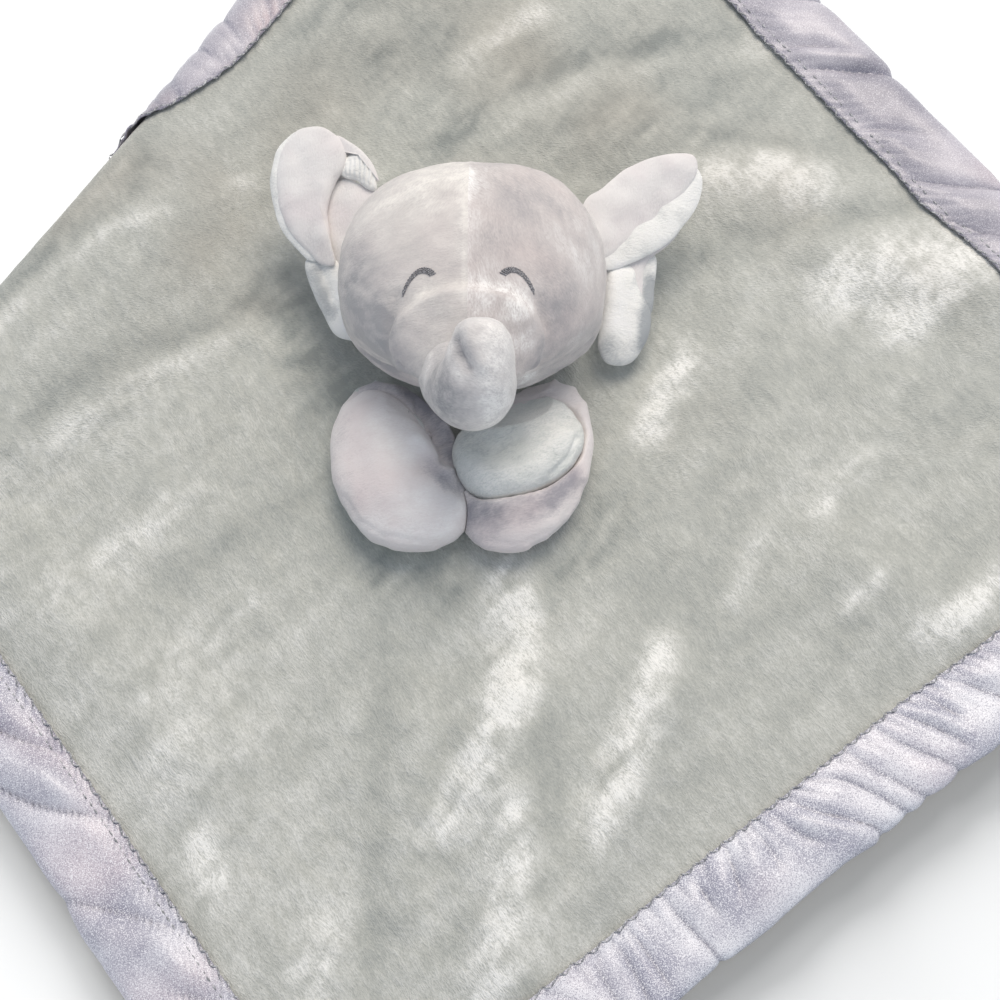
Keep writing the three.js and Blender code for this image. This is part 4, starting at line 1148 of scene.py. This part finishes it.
# For each ear: its plane's middle, and its pads. Each pad: name, cloth, its rise over the plane,
# heights above and below its rim, outline in plan (millimetres, anticlockwise), and dents or ridges
EARS = {
    "right": ((46, 38, 25.5), [
        ("back", "velour", -2.4, 1.0, 1.2, [
            (60, 43), (65, 53), (64, 61), (57, 62.5), (48, 59), (38, 52), (33, 46), (35, 34),
            (38, 24), (38.5, 12), (43, 9.5), (48, 13), (50, 20), (50.5, 30), (52.5, 37)], []),
        ("rim", "plush", 0, 2.1, 1.5, [
            (68.8, 58), (67.4, 61.8), (64, 64.2), (57.5, 64), (50.4, 61.8), (44.6, 58.4),
            (38.6, 53.6), (33.5, 49.5), (32.5, 42), (33.5, 35), (39.9, 32.3), (47.2, 34.9),
            (53.8, 38), (59.4, 42.2), (64.3, 47.6), (67.4, 52.9)],
         [(7, -1.6, (40, 45), (49, 51), (58, 58))]),
        ("flap", "velour", 0.9, 1.5, 1.2, [
            (67, 62.6), (64.9, 65.5), (57.7, 65), (50.4, 62.9), (44.4, 59.5), (38.4, 54.7),
            (32.7, 50.5), (31.5, 42), (34.5, 35.4), (40, 35.6), (44.3, 38.8), (50.3, 43),
            (56.4, 48.4), (62.5, 54.2), (66, 58.8)],
         [(4, -0.7, (44, 43), (51, 47), (58, 54)), (3, 0.5, (60, 62), (65, 62))]),
        ("strip", "plush", -4.2, 1.6, 1.2, [
            (54.3, 32), (54.6, 39), (48, 39), (46.5, 32), (48, 26), (50.5, 20), (53.2, 23)], []),
        ("lobe", "plush", -3.0, 3.4, 2.0, [
            (48.6, 31), (48, 35), (44, 36.5), (39.8, 35), (39, 29), (38.2, 21.2), (37, 15.6),
            (36.8, 11.8), (39, 7.9), (42.7, 7.0), (47, 8.4), (50.7, 12.9), (52.9, 18), (52.7, 22.5),
            (50.6, 26.5)],
         [(2.5, 0.6, (42, 30), (41.5, 16))]),
    ]),
    "left": ((-48, 46, 27.5), [
        ("back", "velour", -3.0, 1.0, 1.2, [
            (-34, 52), (-36, 61), (-43, 69), (-50, 71), (-56, 67), (-58, 58), (-55.5, 47),
            (-50, 41), (-47.5, 31), (-43, 21), (-37.5, 18), (-35, 24), (-34, 36)], []),
        ("root", "velour", -1.6, 1.8, 1.5, [
            (-28, 44), (-27, 53), (-31, 56.8), (-35.1, 58.5), (-38.4, 60), (-43.5, 57.5),
            (-46.5, 50), (-45, 42.6), (-42.1, 36.2), (-38.5, 33.6), (-31, 34)], []),
        ("band", "plush", 0.2, 2.2, 1.4, [
            (-28.7, 55.4), (-29.3, 61), (-32.5, 64.8), (-37, 65.4), (-40.4, 62), (-38.4, 59.4),
            (-35, 58), (-31.5, 55.6)],
         [(0.5, -0.5, (-38.6, 59.4), (-38.4, 62)), (0.5, -0.5, (-37.2, 59), (-37, 63)),
          (0.5, -0.5, (-35.9, 58.6), (-35.5, 63.3)), (0.5, -0.5, (-34.4, 58.2), (-34, 63.3)),
          (0.5, -0.5, (-33, 57.4), (-32.4, 62.8)), (0.5, -0.5, (-31.6, 56.6), (-30.8, 61.6)),
          (0.5, -0.5, (-30.3, 56), (-29.5, 59.6))]),
        ("curl", "velour", 0.9, 1.4, 1.2, [
            (-28.2, 57.5), (-29.8, 62), (-33, 66), (-36.8, 68.8), (-41, 71), (-42.5, 67),
            (-38, 66), (-34, 65), (-31, 62.2), (-29.2, 58.5)], []),
        ("rim", "plush", 0.3, 1.6, 1.3, [
            (-48, 52), (-46, 66), (-50, 73), (-54.5, 72.9), (-59.2, 68.4), (-61.2, 61.8),
            (-60.6, 53.9), (-58.2, 46.2), (-53.2, 40.2), (-49.4, 37), (-46, 38.5)], []),
        ("flap", "velour", 1.4, 2.4, 1.6, [
            (-43.6, 49.7), (-42.6, 54.1), (-40.6, 57.9), (-38.6, 61.5), (-37.8, 65.5),
            (-39.6, 70), (-45.3, 73.4), (-51.4, 73.7), (-55.3, 71), (-58.2, 66.4), (-59.3, 61),
            (-58.8, 54), (-56.7, 47.2), (-52.2, 41.2), (-49, 38), (-45.8, 35.1), (-41.5, 34.9),
            (-42.5, 40.2), (-43.4, 45)],
         [(4, -0.5, (-52, 66), (-52, 52)), (2, 0.4, (-45, 56), (-45, 42))]),
        ("lobe", "plush", -1.5, 2.4, 1.8, [
            (-39, 31), (-41, 37), (-46, 39), (-51, 38), (-50.2, 32.3), (-47, 24.8), (-44, 19),
            (-41.3, 15.8), (-38.1, 14.6), (-34.5, 14.4), (-34, 19), (-36.5, 25)],
         [(2, -1.2, (-46, 34), (-43, 26)), (2, 0.8, (-40, 25), (-38, 18))]),
    ]),
}
# Painted light and shade: paler on the flaps and on the lobes' lit sides, painted blue-grey shade
# on the lobes' other sides and low on the right lobe
EAR_SHEEN_AND_SHADE = {"velour": [(6, 0.4, (-52, 68), (-56, 60)), (6, 0.3, (44, 54), (60, 62))],
           "plush": [(4, 0.6, (-39, 26), (-37, 18)), (3, -1.1, (-48, 34), (-43, 22)),
                     (2.6, -1.3, (52.5, 31), (52.5, 24), (50.5, 13)), (4, 0.5, (42, 32), (42, 18)),
                     (3, -0.6, (39, 11), (45, 9))]}


def closed_outline(points, turn):
    """Places on a smooth closed line through plan points, for turns from 0 to 1."""
    ring = np.array(points, float)
    at = (turn % 1) * len(ring)
    i = at.astype(int) % len(ring)
    four = (ring[(i + k) % len(ring)] for k in (-1, 0, 1, 2))
    return spline(*four, (at - np.floor(at))[:, None])


def soft_pad(outline, upper, lower, seat, fullness, inset=0.0, rounding=0.0):
    """A closed pad over a plan outline in millimetres; seat gives the height of its rim.
    rounding evens the outline over that share of the way to the next point."""
    bpy.ops.mesh.primitive_uv_sphere_add(segments=72, ring_count=28, radius=1)
    piece = bpy.context.object
    ball = points_of(piece)
    turn = np.arctan2(ball[:, 1], ball[:, 0]) / (2 * math.pi)
    edge = np.mean([closed_outline(outline, turn + rounding * k / len(outline))
                    for k in (-1, -0.5, 0, 0.5, 1)], axis=0)
    centre = np.mean(outline, axis=0)
    out = np.hypot(ball[:, 0], ball[:, 1]) ** (2 / fullness)
    arm = edge - centre
    reach = np.linalg.norm(arm, axis=1)
    arm *= (np.maximum(reach - inset, 0) / np.maximum(reach, 1e-9))[:, None]
    place = (centre + arm * out[:, None]) * MM
    height = ball[:, 2] * np.where(ball[:, 2] > 0, upper, lower) * MM
    set_points(piece, np.column_stack([place, seat(place) + height]))
    return piece


# The ears' velour is the palest and warmest; the lining is a whiter, longer pile, which looks
# fluffy at its edges
velour_ear = pile_material("brushed_velour_ear", "#bfbbbc", "#ebe8e6", "#faf8f5",
                           pile=0.45 * MM, contrast=0.22, relief=0.2 * MM, lean=1.2, sheen=0.3,
                           blush=("#e0d5d7", 14 * MM, 0.4, ALL_OVER))
plush_white = pile_material("white_short_pile_plush", "#b4b8ba", "#f8f8f4", "#ffffff",
                            pile=0.45 * MM, contrast=0.24, relief=0.3 * MM, lean=0.3, sheen=0.2)
for name, (place, pads) in EARS.items():
    body = "ear_" + name
    middle = np.array(place) * MM
    side = 1 if name == "right" else -1

    def level(rise, middle=middle, side=side):
        return lambda place: (middle[2] + EAR_SLOPE * (place[:, 1] - middle[1])
                              + EAR_SIDE_SLOPE * side * (place[:, 0] - middle[0]) + rise * MM)

    sewn = {"velour": [], "plush": []}
    for seed, (part, cloth, rise, upper, lower, outline, strokes) in enumerate(pads):
        pad = soft_pad(outline, upper, lower, level(rise), fullness=3)
        pad.name = part + "_pad"
        subdivide(pad, 1)
        press(pad, strokes)
        crumple(pad, 0.2 * MM, 6 * MM, 51 + seed)
        sewn[cloth].append(pad)
    for cloth, material, node, slot in (("velour", velour_ear, "_back", "velour_lilac"),
                                        ("plush", plush_white, "_lining", "plush_white")):
        piece = into_one(sewn[cloth])
        paint_sheen_and_shade(piece, EAR_SHEEN_AND_SHADE[cloth], 55, patch=12 * MM, patch_share=0.15, swirl=5 * MM,
              swirl_share=0.2, rough=0.1)
        finish_piece(piece, body + "_" + cloth, material)
        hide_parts(body + node)
        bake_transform(piece)

# ---- Arms ----
# Two stuffed bean-shaped arms of lilac velour lie on the plush, crossed below the trunk. The
# palms are grey plush: the left one faces down, the right one is turned up under the trunk.
ARM_SEAT = 5.0
ARM_SEAM = 12.8
LEFT_ARM = [(-4.5, -26.5), (-5, -20), (-7.5, -13.5), (-12.5, -6), (-20.5, 0.5), (-30.8, 4),
            (-35.8, 0.5), (-39.5, -4.7), (-41.7, -11.1), (-42.8, -19), (-42.3, -27), (-40.3, -33.2),
            (-36.2, -41.6), (-31.7, -47.8), (-24.6, -50.9), (-17.1, -51.6), (-9.3, -50.8),
            (-4.3, -48.1), (-2, -44.1), (-1.2, -36.7), (-3, -31)]
RIGHT_ARM = [(33.9, -29), (35.2, -19), (34.8, -10.7), (32.6, -2.5), (27.5, 4), (16, 2), (4, -6),
             (-4, -15), (-5.8, -27), (-4.4, -38), (-2.8, -46.3), (0.3, -50.9), (6.1, -53),
             (14, -51.9), (23, -47.3), (29.2, -39.8)]
PALM = [(32.3, -20), (32.4, -14), (27.5, -6.5), (20, -4), (12, -5), (2, -9), (-6, -15.5),
        (-7.4, -24), (-5, -30.5), (-0.8, -36), (4.7, -37.4), (12, -36.6), (20, -34.4),
        (25.9, -30.5), (30.6, -25.4)]
PALM_SEAT = 14 * MM
LEFT_STROKES = [
    (1.5, -2.2, (-39, -4), (-33.5, 0), (-26.5, -1), (-21, -4.5), (-16.5, -9)),
    (4.5, -6, (-6.5, -23), (-8.5, -16), (-13.5, -7)),
    (1.0, -0.9, (-24.5, -11), (-19, -12.5), (-13, -14.5)),
    (0.9, -0.7, (-20, -6.5), (-15, -12), (-12, -17)),
    (2, 1.2, (-16.5, -20.5), (-11, -24), (-7, -28)),
    (3.6, -1.8, (-14, -28), (-8.5, -31), (-4, -33.5)),
    (0.7, -0.3, (-38, -36), (-33.5, -43.5), (-26.5, -48.2), (-15.5, -50)),
    (5, 0.8, (-27, -18), (-25, -36)),
]
RIGHT_STROKES = [
    (0.9, -0.3, (1.5, -49), (12.5, -51), (24.4, -45.2), (31.6, -32)),
    (4, 0.7, (8, -46), (22, -44)),
    (1.2, -1.2, (16, -1), (23, -3), (30, -7)),
]
PALM_STROKES = [
    (4.5, -2.2, (0, -19), (6, -22.5), (12, -20)),
    (3, 0.9, (2, -30.5), (12, -32), (20, -29), (25.5, -20)),
    (0.8, -0.9, (22.5, -31), (27.5, -25.8), (29.8, -19.6)),
    (3, 0.6, (24, -12), (18, -10)),
]
# Painted light and shade on the arms and the right palm: paler where they face the light and along
# their rims, darker in the left arm's web, by the shoulder, below the palm and by the trunk
LEFT_ARM_SHEEN_AND_SHADE = [
    (9, 0.7, (-24, -18), (-18, -38)),
    (2.5, 0.8, (-34, -43), (-22, -48.5), (-8, -47), (-3, -40)),
    (2.5, 0.7, (-39.5, -8), (-33, -4), (-26, -6), (-20, -10)),
    (4, -0.8, (-34, 3), (-26, 2), (-18, -4)),
    (4, -0.9, (-7, -22), (-9, -15), (-14, -7)),
    (4, -0.7, (-13, -28.5), (-5, -33)),
    (1.6, 0.6, (-16, -20.5), (-11, -24), (-7.5, -27.5)),
    (2, 0.6, (-5, -37), (-2, -40)),
]
RIGHT_ARM_SHEEN_AND_SHADE = [
    (3, 0.6, (10, -51), (20, -47), (28, -41), (32.5, -30), (33.5, -14)),
    (5.5, -1.0, (-2, -41), (5, -43), (13, -42), (22, -39), (29.5, -31)),
]
PALM_SHEEN_AND_SHADE = [
    (4, 1.0, (6, -33), (17, -31), (26, -22)),
    (7, 1.0, (18, -15), (27, -12)),
    (5, -0.2, (0, -20), (9, -21)),
    (3, 0.6, (-1, -30), (3, -34)),
]
HEAD_NOD = math.radians(15)
NECK_HINGE = np.array([0, -6, 8]) * MM
HEAD_ROOM = 0.8 * MM
PRESS_STEP = 0.2 * MM
PRESS_STEPS = 120
SHOULDER = 16 * MM
SHOULDER_THIN = 0.42
ARM_ROOM = 0.4


def outline_share(points, outline):
    """How far out points lie in plan: 0 at the middle of the outline, 1 on it."""
    centre = np.mean(outline, axis=0)
    ring = closed_outline(outline, np.linspace(0, 1, 361)[:-1]) - centre
    turn = np.arctan2(ring[:, 1], ring[:, 0])
    away = points[:, :2] / MM - centre
    order = np.argsort(turn)
    reach = np.interp(np.arctan2(away[:, 1], away[:, 0]), turn[order],
                      np.hypot(ring[:, 0], ring[:, 1])[order], period=2 * math.pi)
    return np.hypot(away[:, 0], away[:, 1]) / reach


def in_head(points):
    """True where a point lies in the head at rest or on its way through the nod."""
    inside = np.zeros(len(points), bool)
    for share in (0, 0.5, 1):
        c, s = math.cos(share * HEAD_NOD), math.sin(share * HEAD_NOD)
        turned = points - NECK_HINGE
        turned = np.column_stack([turned[:, 0], c * turned[:, 1] + s * turned[:, 2],
                                  c * turned[:, 2] - s * turned[:, 1]]) + NECK_HINGE
        box = (np.abs((turned - HEAD_CENTRE) / (HEAD_HALF + HEAD_ROOM)) ** HEAD_POWER).sum(1)
        muzzle = (((turned - MUZZLE_CENTRE) / (MUZZLE_HALF + HEAD_ROOM)) ** 2).sum(1)
        inside |= (box < 1) | (muzzle < 1)
    return inside


def keep_under_head(piece):
    """Presses a piece down wherever the head is, or comes on its way through the nod."""
    points = points_of(piece)
    for _ in range(PRESS_STEPS):
        inside = in_head(points)
        if not inside.any():
            break
        points[inside, 2] = np.maximum(points[inside, 2] - PRESS_STEP, ARM_SEAT * MM)
    set_points(piece, points)


def arm_form(outline, height, strokes, seed, seam=ARM_SEAM, inset=-0.9, voxel=3 * MM,
             cap=2.2 * MM):
    """One stuffed arm: thin at the shoulder, swollen, then creased along its strokes."""
    upper, lower = height - seam, seam - ARM_SEAT
    piece = soft_pad(outline, upper, lower, lambda place: np.full(len(place), seam * MM),
                     fullness=2.5, inset=inset, rounding=0.9)
    points = points_of(piece)
    top = max(y for x, y in outline) * MM
    thin = between(SHOULDER_THIN, 1, smooth((top - points[:, 1]) / SHOULDER))
    above = points[:, 2] > seam * MM
    points[above, 2] = seam * MM + (points[above, 2] - seam * MM) * thin[above]
    set_points(piece, points)
    swell(piece, voxel, cap)
    subdivide(piece, 2)
    apply_modifier(piece, "SMOOTH", factor=0.5, iterations=16)
    press(piece, strokes)
    crumple(piece, 0.3 * MM, 9 * MM, seed)
    keep_under_head(piece)
    return piece


# The arms' velour has a faint silky sheen; the palms are of the blanket's plush, which is
# painted whiter and more ragged where its pile stands up and catches the light
velour_arm = pile_material("brushed_velour_arm", "#a19fa6", "#ebe5e3", "#fbf9f7",
                           pile=0.45 * MM, contrast=0.26, relief=0.24 * MM, lean=1.0, sheen=0.5,
                           blush=("#e0d0d0", 20 * MM, 0.4, ALL_OVER))
plush_palm = pile_material("short_pile_polyester_plush_palm", "#9fa7a7", "#e0e3de", "#fcfcf7",
                           pile=0.42 * MM, contrast=0.38, relief=0.5 * MM, lean=1.1, sheen=0.45,
                           glint_most=2.6)

left = arm_form(LEFT_ARM, 24.3, LEFT_STROKES, 61)
right = arm_form(RIGHT_ARM, 20, RIGHT_STROKES, 62)
palm = arm_form(PALM, 24.6, PALM_STROKES, 63, seam=16.5, inset=-0.3, voxel=2.4 * MM, cap=1.6 * MM)
points = points_of(right)
under = smooth((1.04 - outline_share(points, PALM)) / 0.12)
points[:, 2] = between(points[:, 2], np.minimum(points[:, 2], PALM_SEAT), under)
set_points(right, points)
for piece in (left, right):
    points = points_of(piece)
    points[:, 2] = np.maximum(points[:, 2], (ARM_SEAT + 0.1) * MM)
    set_points(piece, points)

# The left arm lies over the right one, which is hollowed to make room for it
room = copy_of(left)
set_points(room, points_of(room) + normals_of(room) * ARM_ROOM * MM)
for piece in (right, palm):
    apply_modifier(piece, "BOOLEAN", operation="DIFFERENCE", object=room, solver="EXACT")
bpy.data.objects.remove(room)

for piece, strokes, seed in ((left, LEFT_ARM_SHEEN_AND_SHADE, 64), (right, RIGHT_ARM_SHEEN_AND_SHADE, 65), (palm, PALM_SHEEN_AND_SHADE, 66)):
    paint_sheen_and_shade(piece, strokes, seed, patch=20 * MM, patch_share=0.12, swirl=6 * MM, swirl_share=0.15,
          rough=0.15)
cut_line(left, (0, 0, ARM_SEAM * MM), (0, 0, 1))
left_top = take_part(left, "arm_left_velour", lambda p: p[:, 2] > ARM_SEAM * MM)
left_palm = take_part(left, "arm_left_plush", lambda p: p[:, 2] <= ARM_SEAM * MM)
bpy.data.objects.remove(left)
for piece in (left_top, left_palm):
    apply_modifier(piece, "SOLIDIFY", thickness=SKIN, offset=-1)
ARM_PIECES = [
    (left_top, "arm_left_velour", velour_arm, "arm_left", ["arm_left_back"], "velour_lilac"),
    (left_palm, "arm_left_plush", plush_palm, "arm_left", ["arm_left_palm"], "plush_grey"),
    (right, "arm_right_velour", velour_arm, "arm_right", ["arm_right_back", "arm_right_stuffing"],
     "velour_lilac"),
    (palm, "arm_right_plush", plush_palm, "arm_right", ["arm_right_palm"], "plush_grey"),
]
for piece, name, material, body, nodes, slot in ARM_PIECES:
    finish_piece(piece, name, material)
    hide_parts(*nodes)
    side = -1 if body == "arm_left" else 1
    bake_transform(piece)

# ---- Neck ----
# A gathered velour disc closes the head's base and is sewn to the front plush below it. The chin
# hides it, and it stays on the blanket when the head nods.
NECK_MIDDLE = (0, -3 * MM, 7.6 * MM)
NECK_RADIUS = 7 * MM
NECK_HEIGHT = 5 * MM
NECK_WAIST = 0.12
NECK_GATHERS = 18
bpy.ops.mesh.primitive_cylinder_add(vertices=64, radius=NECK_RADIUS, depth=NECK_HEIGHT,
                                    end_fill_type="TRIFAN")
neck = bpy.context.object
open_mesh(neck)
bpy.ops.mesh.subdivide(number_cuts=3)
close_mesh()
points = points_of(neck)
gathers = 1 + 0.6 * np.sin(NECK_GATHERS * np.arctan2(points[:, 1], points[:, 0]))
waist = 1 - NECK_WAIST * np.cos(points[:, 2] / NECK_HEIGHT * math.pi) * gathers
points[:, :2] *= waist[:, None]
set_points(neck, points + np.array(NECK_MIDDLE))
keep_under_head(neck)
paint_sheen_and_shade(neck, [], 71, patch=8 * MM, swirl=4 * MM)
finish_piece(neck, "neck_velour", velour_arm)
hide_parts("neck_disc")
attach(neck, "blanket")

# ---- Stuffing ----
# Loose white polyester fibre fills the head, the trunk and the left arm. It is lumpy and springs
# back against the covers.
fibre = pile_material("polyester_fibrefill", "#d9d9d6", "#f3f3f0", "#ffffff",
                      pile=0.7 * MM, contrast=0.3, relief=0.6 * MM, lean=0.2, sheen=0.2)
STUFFING = {
    "head_stuffing": ("head_fibrefill", "head", 4 * MM),
    "trunk_stuffing": ("trunk_fibrefill", "head", 2 * MM),
    "arm_left_stuffing": ("arm_left_fibrefill", "arm_left", 2 * MM),
}
for node, (name, body, voxel) in STUFFING.items():
    piece = copy_of(frame["nodes"][node])
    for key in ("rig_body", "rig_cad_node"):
        if key in piece:
            del piece[key]
    piece.parent = None
    apply_modifier(piece, "REMESH", mode="VOXEL", voxel_size=voxel)
    points = points_of(piece) - normals_of(piece) * 1.2 * MM
    set_points(piece, tapered(points) if node == "head_stuffing" else points)
    crumple(piece, 0.4 * MM, 6 * MM, 81)
    paint_sheen_and_shade(piece, [], 82, patch=12 * MM)
    finish_piece(piece, name, fibre)
    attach(piece, body)
    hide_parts(node)

bpy.ops.object.select_all(action="DESELECT")
